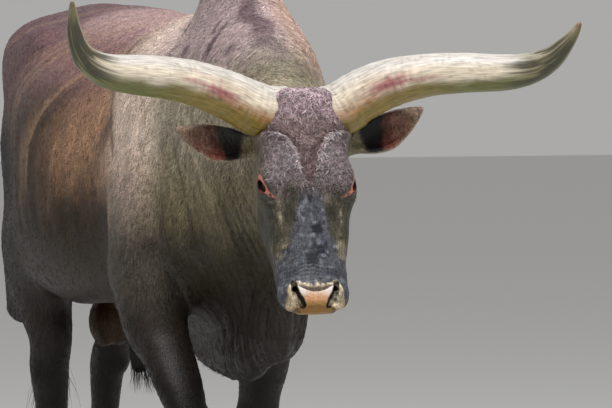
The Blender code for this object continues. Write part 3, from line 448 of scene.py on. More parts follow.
def oval(centre, radii, turn=None, blend=0.03, frame=None, carve=False):
    """An ellipsoid."""
    own = Matrix.Translation(centre) @ (turn.to_4x4() if turn else Matrix.Identity(4))
    radii = np.array(radii, float)

    def distance(points):
        near = np.linalg.norm(points / radii, axis=-1) + 1e-6
        return near * (near - 1) / (np.linalg.norm(points / radii**2, axis=-1) + 1e-3)

    frame = frame @ own if frame else own
    return placed(-radii, radii, distance, blend, carve, frame)


def bar(start, end, start_radius, end_radius, blend=0.03, frame=None, carve=False):
    """A round bar that tapers from one radius to another."""
    start, end = np.array(start, float), np.array(end, float)
    axis = end - start

    def distance(points):
        t = np.clip((points - start) @ axis / (axis @ axis), 0, 1)
        away = np.linalg.norm(points - start - t[..., None] * axis, axis=-1)
        return away - (start_radius + t * (end_radius - start_radius))

    low, high = box_of([start, end], max(start_radius, end_radius))
    return placed(low, high, distance, blend, carve, frame)


def pair(centre, radii, **named):
    """The same oval on both sides."""
    return [oval(mirrored(centre, side), radii, **named) for side, _ in SIDES]


def mirrored(point, side):
    """A point of the bull's left side, on the side asked for."""
    return Vector((side * point[0], point[1], point[2]))


def as_slices(rows):
    """Rows for slices from rows of place, shift, top, bottom, half width and widest level."""
    return [
        (place, shift, widest, half, top - widest, widest - bottom)
        for place, shift, top, bottom, half, widest in rows
    ]


def trunk_forms():
    """The barrel, with its shoulders, hips, thighs and flanks."""
    rows = [(y, 0.0, top, bottom, half, widest) for y, top, bottom, half, widest in TRUNK]
    lean = Matrix.Rotation(math.radians(-24), 3, "X")
    rump = Matrix.Rotation(math.radians(14), 3, "X")
    return [
        slices(1, as_slices(rows), power=2.15, blend=0.01),
        *pair((0.142, -0.255, 1.045), (0.088, 0.165, 0.225), turn=lean, blend=0.10),
        *pair((0.170, -0.475, 0.915), (0.050, 0.065, 0.090), blend=0.06),
        *pair((0.180, -0.210, 0.920), (0.070, 0.140, 0.150), blend=0.06),
        oval((-0.205, -0.270, 0.900), (0.070, 0.130, 0.200), blend=0.06),
        *pair((0.205, 0.620, 1.305), (0.038, 0.075, 0.042), blend=0.06),
        *pair((0.115, 0.965, 1.225), (0.040, 0.050, 0.050), blend=0.05),
        *pair((0.158, 0.760, 1.110), (0.092, 0.225, 0.240), turn=rump, blend=0.08),
        *pair((0.151, 0.785, 1.253), (0.091, 0.205, 0.096), turn=rump, blend=0.06),
        bar((0.145, 0.890, 1.060), (0.116, 1.115, 0.630), 0.104, 0.028, blend=0.06),
        bar((0.145, 0.860, 0.900), (0.122, 1.030, 0.690), 0.085, 0.048, blend=0.06),
        bar((-0.150, 0.870, 1.040), (-0.236, 0.705, 0.660), 0.084, 0.042, blend=0.06),
        *pair((0.190, 0.340, 0.850), (0.128, 0.330, 0.165), blend=0.06),
        *pair((0.215, 0.480, 0.880), (0.075, 0.120, 0.130), blend=0.08),
    ]


def front_forms():
    """Hump, neck, dewlap and brisket."""
    lean = Matrix.Rotation(math.radians(10), 3, "X")
    return [
        oval((0.0, -0.345, 1.330), (0.096, 0.205, 0.200), turn=lean, blend=0.06),
        oval((0.0, -0.120, 1.326), (0.056, 0.180, 0.066), blend=0.05),
        slices(1, as_slices(NECK), power=2.1, blend=0.05),
        slices(1, as_slices(DEWLAP), power=1.8, blend=0.05),
        oval((-0.012, -0.390, 0.624), (0.048, 0.150, 0.078), blend=0.03),
        oval((0.006, -0.665, 0.704), (0.042, 0.105, 0.098), blend=0.03),
    ]


def leg_line(name, height):
    """Where the middle of a leg is at a height."""
    heights, line = eased(LEG_LINES[name])
    x, y = (float(np.interp(height, heights, column)) for column in line)
    return Vector((x, y, height))


def leg_forms(name):
    """A leg from the body down to its sole, with its joints and muscles."""
    fore = name.startswith("fore")
    side = RIGHT if name.endswith("right") else LEFT
    rows = []
    for height, half, ahead, behind in FORE_GIRTH if fore else HIND_GIRTH:
        spot = leg_line(name, height)
        rows.append((height, spot.x, spot.y, half, behind, ahead))
    forms = [slices(2, rows, power=2.2, blend=0.06)]

    def on_line(height, sideways, back):
        return leg_line(name, height) + Vector((side * sideways, back, 0.0))

    if fore:
        return forms + [
            oval(on_line(0.775, 0.012, 0.075), (0.040, 0.045, 0.055), blend=0.05),
            oval(on_line(0.700, 0.014, -0.026), (0.056, 0.060, 0.105), blend=0.04),
            oval(on_line(0.425, 0.0, -0.030), (0.040, 0.030, 0.045), blend=0.02),
            oval(on_line(0.450, 0.0, 0.040), (0.022, 0.020, 0.024), blend=0.03),
        ]
    hock = on_line(0.565, 0.0, 0.074)
    return forms + [
        bar(hock, on_line(0.480, 0.0, 0.040), 0.020, 0.024, blend=0.03),
        bar(on_line(0.700, 0.0, 0.066), hock, 0.024, 0.014, blend=0.03),
        oval(on_line(0.500, 0.026, -0.018), (0.022, 0.034, 0.036), blend=0.02),
    ]


def rear_forms():
    """Tail, scrotum and sheath."""
    rows = [(z, x, y, half, behind, ahead) for z, x, y, half, ahead, behind in TAIL]
    return [
        slices(2, rows, blend=0.04),
        bar((0.0, 0.900, 1.330), (0.0, 1.018, 1.292), 0.040, 0.032, blend=0.06),
        bar((-0.012, 0.690, 0.850), (-0.012, 0.705, 0.690), 0.050, 0.040, blend=0.05),
        oval((0.012, 0.712, 0.622), (0.040, 0.048, 0.066), blend=0.02),
        oval((-0.026, 0.708, 0.620), (0.040, 0.048, 0.067), blend=0.02),
        oval((0.0, 0.430, 0.690), (0.070, 0.180, 0.050), blend=0.05),
        bar((0.0, 0.460, 0.660), (-0.012, 0.440, 0.530), 0.046, 0.027, blend=0.05),
    ]


def head_forms():
    """The skull, jaw and muzzle, with brow pads, sockets, cheeks and nostrils."""
    forms = [
        slices(2, SKULL, power=2.5, blend=0.03, frame=HEAD),
        slices(2, JAW, power=2.4, blend=0.02, frame=HEAD),
    ]
    for centre, radii, blend in HEAD_MIDDLES:
        forms.append(oval(centre, radii, blend=blend, frame=HEAD))
    for centre, radii, blend in HEAD_PAIRS:
        forms += pair(centre, radii, blend=blend, frame=HEAD)
    return forms


def ear_frame(side):
    """The frame of an ear: its root at the origin, its tip up +Z and its opening towards -Y."""
    rise = math.radians(EAR_RISE[side])
    return (
        HEAD
        @ Matrix.Translation(mirrored(EAR_ROOT, side) + EAR_SHIFT[side])
        @ Matrix.Rotation(-side * math.radians(6), 4, "Z")
        @ Matrix.Rotation(side * (math.pi / 2 - rise), 4, "Y")
        @ Matrix.Rotation(side * math.radians(10), 4, "Z")
    )


def ear_forms(side):
    """The blade of an ear, and the hollow cut into it."""
    frame = ear_frame(side)
    blade = [(place, side * bend, *rest) for place, bend, *rest in EAR]
    cup = oval(
        (0.004 * side, -0.014, 0.086), (0.033, 0.023, 0.074), blend=0.004, frame=frame, carve=True
    )
    return [slices(2, blade, blend=0.016, frame=frame), cup]


def on_skin(forms, start, way, reach=0.14):
    """Where a line from inside the head comes out through the skin, in the head's frame."""
    steps = np.linspace(0.0, reach, 141)
    line = np.array([HEAD @ (Vector(start) + Vector(way).normalized() * t) for t in steps], float)
    field = field_at(line, [form for form in forms if not form.carve])
    last = np.flatnonzero(field < 0)[-1]
    return Vector(start) + Vector(way).normalized() * steps[last]


def grooves(spots, radii, blend):
    """Bars that cut a line of spots into the head."""
    pairs = zip(spots, spots[1:], radii, radii[1:])
    return [bar(a, b, r, q, blend=blend, frame=HEAD, carve=True) for a, b, r, q in pairs]


def face_cuts(forms):
    """The slits of the nostrils and the line of the mouth. Notes the nostrils' lines for the painted shade
    inside them.
    """
    cuts = []
    for side, _ in SIDES:
        slit = []
        for x, y, z in NOSTRIL:
            inside = (side * x, 0.060, z + 0.012)
            slit.append(on_skin(forms, inside, (0.0, y - 0.060, -0.012)))
        inner = [spot + Vector((side * 0.001, 0.0060, 0.0)) for spot in slit]
        pit = slit[1] + Vector((-side * 0.006, 0.030, 0.010))
        for spots, radii, wider, blend in (
            (slit, NOSTRIL_RADII, 0.0, 0.002),
            (inner, NOSTRIL_RADII, 0.0022, 0.003),
            ([inner[1], pit], (0.0045, 0.004), 0.0, 0.004),
        ):
            cuts += grooves(spots, [radius + wider for radius in radii], blend)
            NOSTRIL_LINES.extend(zip(spots, spots[1:], radii, radii[1:]))
        lips = []
        for turn in MOUTH_TURNS:
            around = math.radians(turn)
            ahead = MOUTH_PLANE * math.sin(around)
            lips.append(on_skin(forms, MOUTH_MIDDLE, (side * math.cos(around), ahead.y, ahead.z)))
        cuts += grooves(lips, [0.0042] * len(lips), 0.003)
    return cuts


def eye_frame(side):
    """The frame of an eye: its middle at the origin, looking towards -Y."""
    outward = Matrix.Rotation(side * math.radians(62), 4, "Z")
    slant = Matrix.Rotation(-side * math.radians(46), 4, "Y")
    return HEAD @ Matrix.Translation(mirrored(EYE_AT, side)) @ outward @ slant


def lid_forms(side):
    """The ball of an eye with its lids, the opening between them and the inner corner."""
    frame = eye_frame(side)
    forms = [oval((0.0, 0.0, 0.0), (0.033, 0.0262, 0.027), blend=0.010, frame=frame)]
    # The margins of the lids, the upper one fuller
    edge = []
    for turn in range(0, 360, 20):
        around = math.radians(turn)
        x, z = 0.0285 * math.cos(around), 0.0140 * math.sin(around) + 0.0004
        edge.append(Vector((x, -0.0238 * math.sqrt(1 - (x / 0.034) ** 2 - (z / 0.030) ** 2), z)))
    for k, start in enumerate(edge):
        end = edge[(k + 1) % len(edge)]
        reach = [0.0030 + 0.0012 * max(0.0, spot.z / 0.014) for spot in (start, end)]
        forms.append(bar(start, end, *reach, blend=0.0025, frame=frame))
    opening, radii = (-side * 0.003, -0.020, -0.0008), (0.0236, 0.022, 0.0108)
    forms.append(oval(opening, radii, blend=0.002, frame=frame, carve=True))
    # The inner corner draws out towards the muzzle
    nook, end = (-side * 0.023, -0.019, 0.0), (-side * 0.045, -0.020, -0.004)
    forms.append(bar(nook, end, 0.0030, 0.0012, 0.002, frame, carve=True))
    return forms


def coronet_of(name):
    """The point and the downward way of the plane where the claws begin."""
    return leg_line(name, CORONET_HEIGHT), Vector((0.0, -CORONET_SLOPE, -1.0)).normalized()


def hoof_cut(name):
    """Takes away the leg below its coronet, where the claws stand in for it."""
    at, down = coronet_of(name)
    at, down = np.array(at), np.array(down)

    def distance(points):
        return (at - points) @ down + 0.004

    return Form(at - 0.10, at + np.array([0.10, 0.10, 0.05]), 0.006, True, distance)


def all_forms():
    """Every soft form, in the order in which they blend."""
    forms = trunk_forms() + front_forms()
    for name in LEG_LINES:
        forms += leg_forms(name)
    forms += rear_forms()
    forms += [hoof_cut(name) for name in LEG_LINES]
    head = head_forms()
    for side, _ in SIDES:
        head += ear_forms(side)
        head += lid_forms(side)
    return forms + head + face_cuts(head)


def blended(field, other, blend):
    """Two fields as one, rounded where they meet."""
    share = np.clip(0.5 + 0.5 * (field - other) / blend, 0, 1)
    return field + (other - field) * share - blend * share * (1 - share)


def field_at(points, forms, reach=0.03):
    """How far points lie outside the surface of all the forms together."""
    field = np.full(len(points), 0.1)
    for form in forms:
        margin = form.blend + reach
        near = np.all((points > form.low - margin) & (points < form.high + margin), axis=1)
        if not near.any():
            continue
        away = form.distance(points[near])
        if form.carve:
            field[near] = -blended(-field[near], away, form.blend)
        else:
            field[near] = blended(field[near], away, form.blend)
    return field


def surface_of(forms, low, high, step, depth):
    """Vertices and quads of the surface that lies that deep, sampled only close to it."""
    block = 4
    low = np.array(low)
    counts = [math.ceil((b - a) / step / block) for a, b in zip(low, high)]
    middle = [a + step * (block * np.arange(n) + (block - 1) / 2) for a, n in zip(low, counts)]
    coarse = np.stack(np.meshgrid(*middle, indexing="ij"), -1).reshape(-1, 3)
    rough = field_at(coarse, forms, 0.06).reshape(counts)
    field = np.repeat(np.repeat(np.repeat(rough, block, 0), block, 1), block, 2).astype(np.float32)
    near = np.argwhere(np.abs(rough + depth) < block * step * 1.6)
    inner = np.stack(np.meshgrid(*[np.arange(block)] * 3, indexing="ij"), -1).reshape(-1, 3)
    cells = (near[:, None, :] * block + inner[None]).reshape(-1, 3)
    values = field_at(low + cells * step, forms)
    field[cells[:, 0], cells[:, 1], cells[:, 2]] = values
    for axis in range(3):
        edge = [slice(None)] * 3
        for end in (0, -1):
            edge[axis] = end
            field[tuple(edge)] = np.maximum(field[tuple(edge)], 0.5 * step)
    volume = openvdb.FloatGrid(0.1)
    volume.copyFromArray(field)
    points, tris, quads = volume.convertToPolygons(isovalue=-depth)
    points = points * step + low
    return points, np.array(tris, np.int64).reshape(-1, 3), np.array(quads, np.int64).reshape(-1, 4)


def slope_at(points, forms, reach=0.0005):
    """The way out of the forms at points, and how steep the field is."""
    slope = np.zeros_like(points)
    for axis in range(3):
        aside = np.zeros(3)
        aside[axis] = reach
        slope[:, axis] = (field_at(points + aside, forms) - field_at(points - aside, forms)) / (2 * reach)
    return slope


def settled(points, forms, depth, step):
    """Points moved on to the very surface at a depth, no further than a share of the step."""
    slope = slope_at(points, forms)
    steep = np.maximum((slope**2).sum(1), 0.15)
    move = -((field_at(points, forms) + depth) / steep)[:, None] * slope
    size = np.linalg.norm(move, axis=1, keepdims=True)
    return points + move * np.minimum(1.0, 0.5 * step / (size + 1e-9))


# Meshes


def in_scene(name, data):
    """An object with that data, in the scene."""
    thing = bpy.data.objects.new(name, data)
    bpy.context.scene.collection.objects.link(thing)
    return thing


def mesh_from(name, points, faces):
    """An object from points and arrays of faces, each array with its own count of corners."""
    mesh = bpy.data.meshes.new(name)
    faces = [np.asarray(group, np.int32) for group in faces if len(group)]
    corners = np.concatenate([group.ravel() for group in faces])
    totals = np.concatenate([np.full(len(group), group.shape[1], np.int32) for group in faces])
    starts = np.concatenate([[0], np.cumsum(totals)[:-1]]).astype(np.int32)
    mesh.vertices.add(len(points))
    mesh.vertices.foreach_set("co", np.ascontiguousarray(points, np.float32).ravel())
    mesh.loops.add(len(corners))
    mesh.loops.foreach_set("vertex_index", corners)
    mesh.polygons.add(len(totals))
    mesh.polygons.foreach_set("loop_start", starts)
    mesh.polygons.foreach_set("loop_total", totals)
    mesh.update(calc_edges=True)
    mesh.polygons.foreach_set("use_smooth", np.ones(len(totals), bool))
    return in_scene(name, mesh)


def read_points(holder, key):
    """Three numbers for each item of a mesh."""
    flat = np.zeros(len(holder) * 3, np.float32)
    holder.foreach_get(key, flat)
    return flat.reshape(-1, 3).astype(float)


def points_of(piece):
    """The points of a mesh."""
    return read_points(piece.data.vertices, "co")


def normals_of(piece):
    """The ways out of a mesh at its points."""
    return read_points(piece.data.vertex_normals, "vector")


def set_points(piece, points):
    """Moves the points of a mesh."""
    piece.data.vertices.foreach_set("co", np.ascontiguousarray(points, np.float32).ravel())
    piece.data.update()


def paint(piece, name, values):
    """Stores a colour or a number for each vertex."""
    values = np.asarray(values, np.float32)
    if values.ndim == 2:
        layer = piece.data.attributes.new(name, "FLOAT_COLOR", "POINT")
        full = np.ones((len(values), 4), np.float32)
        full[:, :3] = values
        layer.data.foreach_set("color", full.ravel())
    else:
        layer = piece.data.attributes.new(name, "FLOAT", "POINT")
        layer.data.foreach_set("value", values)


def cut_off(piece, at, normal):
    """Cuts away all that lies on the normal's side of a plane."""
    work = bmesh.new()
    work.from_mesh(piece.data)
    every = work.verts[:] + work.edges[:] + work.faces[:]
    bmesh.ops.bisect_plane(work, geom=every, plane_co=at, plane_no=normal, clear_outer=True)
    work.to_mesh(piece.data)
    work.free()


def largest_only(points, faces):
    """The faces of the largest connected surface, and its points."""
    label = np.arange(len(points))
    corners = np.concatenate([group for group in faces if group.shape[1] == 4])
    others = np.concatenate([group for group in faces if group.shape[1] == 3] or [np.zeros((0, 3), int)])
    while True:
        before = label.copy()
        for group in (corners, others):
            if len(group):
                low = label[group].min(1)
                for k in range(group.shape[1]):
                    np.minimum.at(label, group[:, k], low)
        label = label[label]
        if (label == before).all():
            break
    biggest = np.bincount(label).argmax()
    keep = label == biggest
    index = np.cumsum(keep) - 1
    return points[keep], [index[group[keep[group[:, 0]]]] for group in (others, corners)]


def noise(points, scale, seed=0):
    """Smooth noise from -1 to 1 at points, with features of that size along each axis."""
    spots = points / np.array(scale) + seed * 17.31
    cell = np.floor(spots).astype(np.int64)
    t = spots - cell
    t = t * t * t * (t * (6 * t - 15) + 10)
    total = np.zeros(len(points))
    for corner in product((0, 1), repeat=3):
        key = (cell + np.array(corner)) @ np.array([73856093, 19349663, 83492791])
        key = ((key ^ (key >> 13)) * 1274126177) & 0xFFFFFFFF
        value = ((key ^ (key >> 15)) & 0xFFFF) / 32767.5 - 1
        weight = np.prod(np.where(np.array(corner) == 1, t, 1 - t), axis=1)
        total += weight * value
    return total


def fade(value, start, end):
    """0 at start, 1 at end, and smooth between."""
    t = np.clip((value - start) / (end - start), 0, 1)
    return t * t * (3 - 2 * t)


def linear(red, green, blue):
    """A colour stated as seen on a screen, 0 to 255, as the linear colour that shaders use."""
    seen = np.array([red, green, blue]) / 255
    return np.where(seen <= 0.04045, seen / 12.92, ((seen + 0.055) / 1.055) ** 2.4)


def mix(a, b, share):
    """One colour over another, by a share for each point."""
    return a + (np.asarray(b) - a) * np.asarray(share)[:, None]


def ramp(value, *stops):
    """Colours between stops, each a value with red, green and blue."""
    keys = [stop[0] for stop in stops]
    rows = np.array([linear(*stop[1:]) for stop in stops])
    return np.stack([np.interp(value, keys, rows[:, k]) for k in range(3)], 1)


def plain(points, *seen):
    """One colour for every point."""
    return np.tile(linear(*seen), (len(points), 1))


def painted(colour, *layers):
    """A colour under layers, each with its red, green and blue as seen, and its share."""
    for red, green, blue, share in layers:
        colour = mix(colour, linear(red, green, blue), share)
    return colour


def in_frame(points, frame):
    """Points as seen from a frame."""
    back = np.array(frame.inverted(), float)
    return points @ back[:3, :3].T + back[:3, 3]


def at_eye(points, side):
    """Points as seen from an eye, with the first measure towards its inner corner."""
    x, y, z = in_frame(points, eye_frame(side)).T
    return -side * x, y, z


def lid_ring(ex, ez):
    """How many times the size of the opening of the lids a point lies from its middle."""
    return np.hypot(ex / LID_WIDE, ez / LID_TALL)


# Skin


def seen_across(points):
    """How far along the line that runs to the head and outward from the neck a point lies."""
    x, y, z = points.T
    return -0.309 * y - 0.951 * np.abs(x + 0.03) - 0.028


def creases(flow, narrow):
    """Narrow creases at whole numbers of flow: one in a crease, nought between."""
    return (1 - np.abs(np.sin(math.pi * flow))) ** narrow


def neck_folds(points):
    """Loose folds of the neck, which fan out from behind the ear: one in a crease."""
    x, y, z = points.T
    below = np.clip(z - 1.06, -0.36, 0.10)
    start = (seen_across(points) + 0.315 * below) / (1 - 2.1 * below)
    start = start + 0.0045 * noise(points, 0.11, 1) + 0.0012 * noise(points, 0.035, 2)
    room = fade(y, -1.03, -0.93) * fade(start, 0.006, 0.030) * fade(z, 1.26, 1.12) * fade(z, 0.66, 0.80)
    gate = np.clip(0.65 + 1.1 * noise(np.stack([start, y, 0.3 * z], 1), (0.02, 0.4, 0.05), 3), 0, 1)
    fold = creases(start / 0.0145, 1.1) * gate + 0.5 * creases(start / 0.0062 + 0.3, 1.0) * (1 - 0.5 * gate)
    broad = fade(y, -0.40, -0.50) * fade(start, 0.045, 0.015) * fade(z, 1.28, 1.15) * fade(z, 0.74, 0.84)
    wide = creases((start + 0.038) / 0.072, 3.5) + 0.45 * creases((start + 0.038) / 0.018, 1.8)
    return room * fold, broad * wide


def shoulder_lines(points):
    """How far behind the rear edge and the front edge of the shoulder a point lies."""
    x, y, z = points.T
    rear = y - np.interp(z, (0.70, 0.84, 1.05, 1.142, 1.27), (-0.245, -0.219, -0.166, -0.105, -0.02))
    front = y - np.interp(z, (0.80, 0.90, 1.056, 1.171, 1.29), (-0.47, -0.42, -0.378, -0.33, -0.25))
    wave = 0.006 * noise(points, 0.09, 9)
    return rear + wave, front + wave


def elbow_creases(points):
    """The bundle of creases that runs down from the shoulder into the armpit: one in a crease."""
    x, y, z = points.T
    run = seen_across(points) + 0.083 - 0.66 * (0.851 - z)
    room = fade(np.abs(run), 0.021, 0.010) * fade(y, -0.30, -0.36)
    return room * fade(z, 0.905, 0.86) * fade(z, 0.72, 0.76) * creases(run / 0.0110, 1.1)


def wrinkles(points):
    """How far the skin of the body stands out or in, for its folds and wrinkles."""
    x, y, z = points.T
    side = np.abs(x + 0.03)
    tight, broad = neck_folds(points)
    out = -0.0062 * tight - 0.0052 * broad
    # Hanging lobes of the dewlap, parted by deep creases
    lap = fade(z, 0.90, 0.72) * fade(y, -0.26, -0.42) * fade(side, 0.13, 0.08)
    lobe = y + 0.45 * (z - 0.7) + 0.012 * noise(points, 0.12, 5)
    out += lap * (0.004 - 0.011 * creases((lobe + 0.60) / 0.150, 3.0) - 0.004 * creases(lobe / 0.047, 2.0))
    # The shoulder stands out from the neck and from the ribs
    rear, front = shoulder_lines(points)
    flank = fade(np.abs(x), 0.10, 0.16) * fade(z, 0.72, 0.82) * fade(z, 1.30, 1.20)
    out += flank * 0.005 * fade(rear, 0.010, -0.012) * fade(rear, -0.13, -0.03)
    out -= flank * 0.003 * fade(np.abs(front + 0.020), 0.045, 0.0)
    out -= 0.0034 * elbow_creases(points)
    # Ribs show faintly
    rib = fade(y, -0.05, 0.10) * fade(y, 0.62, 0.45) * fade(z, 0.80, 0.92) * fade(z, 1.25, 1.10)
    out += rib * 0.0015 * np.sin(2 * math.pi * (y - 0.28 * (z - 1.0)) / 0.074)
    # The hide is never quite even
    return out + 0.0008 * noise(points, 0.045, 7) + 0.0018 * noise(points, 0.13, 8)


def face_relief(points):
    """How far the skin of the head stands out, for brow pads, folds round the eyes and curls."""
    x, y, z = in_frame(points, HEAD).T
    side = np.abs(x)
    front = fade(y, 0.10, 0.05)
    edge = np.interp(z, *np.array(BROW_EDGE).T)
    inside = side - edge - 0.002 * noise(points, 0.02, 31)
    reach = fade(z, -0.250, -0.205)
    pad = fade(inside, -0.003, 0.004) * fade(inside, 0.075, 0.008)
    furrow = fade(inside, -0.022, -0.004) * fade(inside, 0.001, -0.004)
    out = front * reach * (0.0085 * pad - 0.0035 * furrow)
    # Curls lift the hair of the forehead
    curls = front * fade(z, -0.235, -0.20) * fade(side, 0.105, 0.085)
    out += curls * 0.0012 * noise(points, (0.012, 0.012, 0.007), 32)
    # The facial crest and the hollow below it
    crest = np.abs(side - np.interp(z, (-0.36, -0.30, -0.24, -0.20), (0.062, 0.066, 0.074, 0.084)))
    crest = fade(crest, 0.012, 0.0)
    out += 0.0022 * crest * fade(z, -0.38, -0.34) * fade(z, -0.205, -0.235) * fade(y, 0.10, 0.07)
    for way, _ in SIDES:
        ex, ey, ez = at_eye(points, way)
        ring = np.hypot(ex / 1.9, ez)
        near = fade(ring, 0.046, 0.028) * fade(ring, 0.0165, 0.0205) * fade(ey, 0.012, -0.002)
        out += near * 0.0011 * np.sin(2 * math.pi * (ring - 0.001 * noise(points, 0.01, 35)) / 0.0070)
    # The pad of the nose stands out a little, with a rim above it, and is finely pebbled
    pad = nose_pad(side, y, z)
    out += 0.0016 * pad + 0.0004 * pad * noise(points, 0.0035, 36)
    # Fine wrinkles above the muzzle
    snout = fade(z, -0.440, -0.425) * fade(z, -0.37, -0.40) * front
    out += snout * 0.0005 * np.sin(2 * math.pi * (z + 0.2 * side + 0.004 * noise(points, 0.02, 33)) / 0.009)
    return out + 0.0005 * noise(points, 0.02, 34)


def pad_top(side):
    """The level of the upper edge of the pad of the nose."""
    return -0.460 + 11.0 * side**2


def nose_pad(side, y, z):
    """One on the bare pad between the nostrils, down to the lip, and nought off it."""
    top = pad_top(side)
    wide = np.interp(z, *np.array(PAD_EDGE).T)
    inside = fade(z, top + 0.0015, top - 0.0015) * fade(side, wide + 0.0015, wide - 0.0015)
    return inside * fade(y, 0.05, 0.035)


def refine(part, forms, depth):
    """Twice as many points each way round the eyes and the muzzle, on the true surface."""
    for wide in (1.0, 0.6):
        points = points_of(part)
        x, y, z = in_frame(points, HEAD).T
        near = (z < -0.425) & (y < 0.10) & (wide == 1.0)
        for way, _ in SIDES:
            ex, ey, ez = at_eye(points, way)
            near |= (np.hypot(ex / 1.7, ez) < 0.034 * wide) & (ey < 0.010)
        work = bmesh.new()
        work.from_mesh(part.data)
        work.verts.ensure_lookup_table()
        edges = [edge for edge in work.edges if near[edge.verts[0].index] and near[edge.verts[1].index]]
        bmesh.ops.subdivide_edges(work, edges=edges, cuts=1, use_grid_fill=True)
        many = [face for face in work.faces if len(face.verts) > 4]
        bmesh.ops.triangulate(work, faces=many)
        work.to_mesh(part.data)
        work.free()
        fresh = points_of(part)
        fresh[len(points):] = settled(fresh[len(points):], forms, depth, HEAD_STEP / 2)
        set_points(part, fresh)


def joined(parts):
    """The two cut surfaces as one mesh, bridged where they meet."""
    piece, spare = parts
    work = bmesh.new()
    for part in parts:
        work.from_mesh(part.data)
    rims = [edge for edge in work.edges if edge.is_boundary]
    bmesh.ops.bridge_loops(work, edges=rims)
    work.to_mesh(piece.data)
    work.free()
    bpy.data.objects.remove(spare)
    for polygon in piece.data.polygons:
        polygon.use_smooth = True
    return piece


def build_skin(forms):
    """The body and the head as one mesh. Tells which points belong to the head."""
    at, away = NECK_CUT
    parts, counts = [], []
    for box, step, depth, way, on_head in (
        (BODY_BOX, BODY_STEP, BODY_DEPTH, away, False),
        (HEAD_BOX, HEAD_STEP, HEAD_DEPTH, -away, True),
    ):
        points, tris, quads = surface_of(forms, *box, step, depth)
        points, faces = largest_only(points, [tris, quads])
        points = settled(points, forms, depth, step)
        part = mesh_from("skin", points, faces)
        cut_off(part, at, way)
        if on_head:
            refine(part, forms, depth)
        points = points_of(part)
        lift = wrinkles(points)
        if on_head:
            rim = np.abs((points - np.array(at)) @ np.array(away))
            lift = lift + (face_relief(points) - lift) * fade(rim, 0.0, 0.08)
        set_points(part, points + normals_of(part) * lift[:, None])
        parts.append(part)
        counts.append(len(points))
    skin = joined(parts)
    is_head = np.arange(len(skin.data.vertices)) >= counts[0]
    return skin, is_head


def across_bands(points):
    """Where a point lies across the streaks of the flank, which sweep down from the withers."""
    x, y, z = points.T
    return y + 5.0 * np.maximum(z - 1.06, 0) ** 2 - 0.10 * (1.06 - z)


# The edge of the slate blue of the nose: down the head, and sideways
BRIDGE_EDGE = (
    (-0.400, 0.110),
    (-0.372, 0.090),
    (-0.345, 0.052),
    (-0.305, 0.040),
    (-0.265, 0.028),
    (-0.225, 0.016),
)
# The upper edge of the cream of the muzzle: sideways, and down the head
WING_EDGE = (
    (0.000, -0.442),
    (0.020, -0.439),
    (0.045, -0.430),
    (0.056, -0.436),
    (0.062, -0.450),
    (0.068, -0.500),
)
# Tones of the shoulder and the neck by height, each with its red, green and blue as seen. They grow paler
# upwards: partly the hide's own colour, partly painted light from above and painted shade below
SHOULDER_TONES_AND_LIGHT = (
    (0.78, 68, 60, 52),
    (0.88, 94, 84, 74),
    (0.97, 144, 128, 114),
    (1.05, 188, 166, 150),
    (1.14, 210, 188, 172),
)
NECK_TONES_AND_LIGHT = (
    (0.76, 36, 30, 17),
    (0.84, 60, 53, 34),
    (0.92, 98, 90, 66),
    (1.00, 126, 116, 90),
    (1.10, 148, 138, 120),
)
DARKEST = 0.003


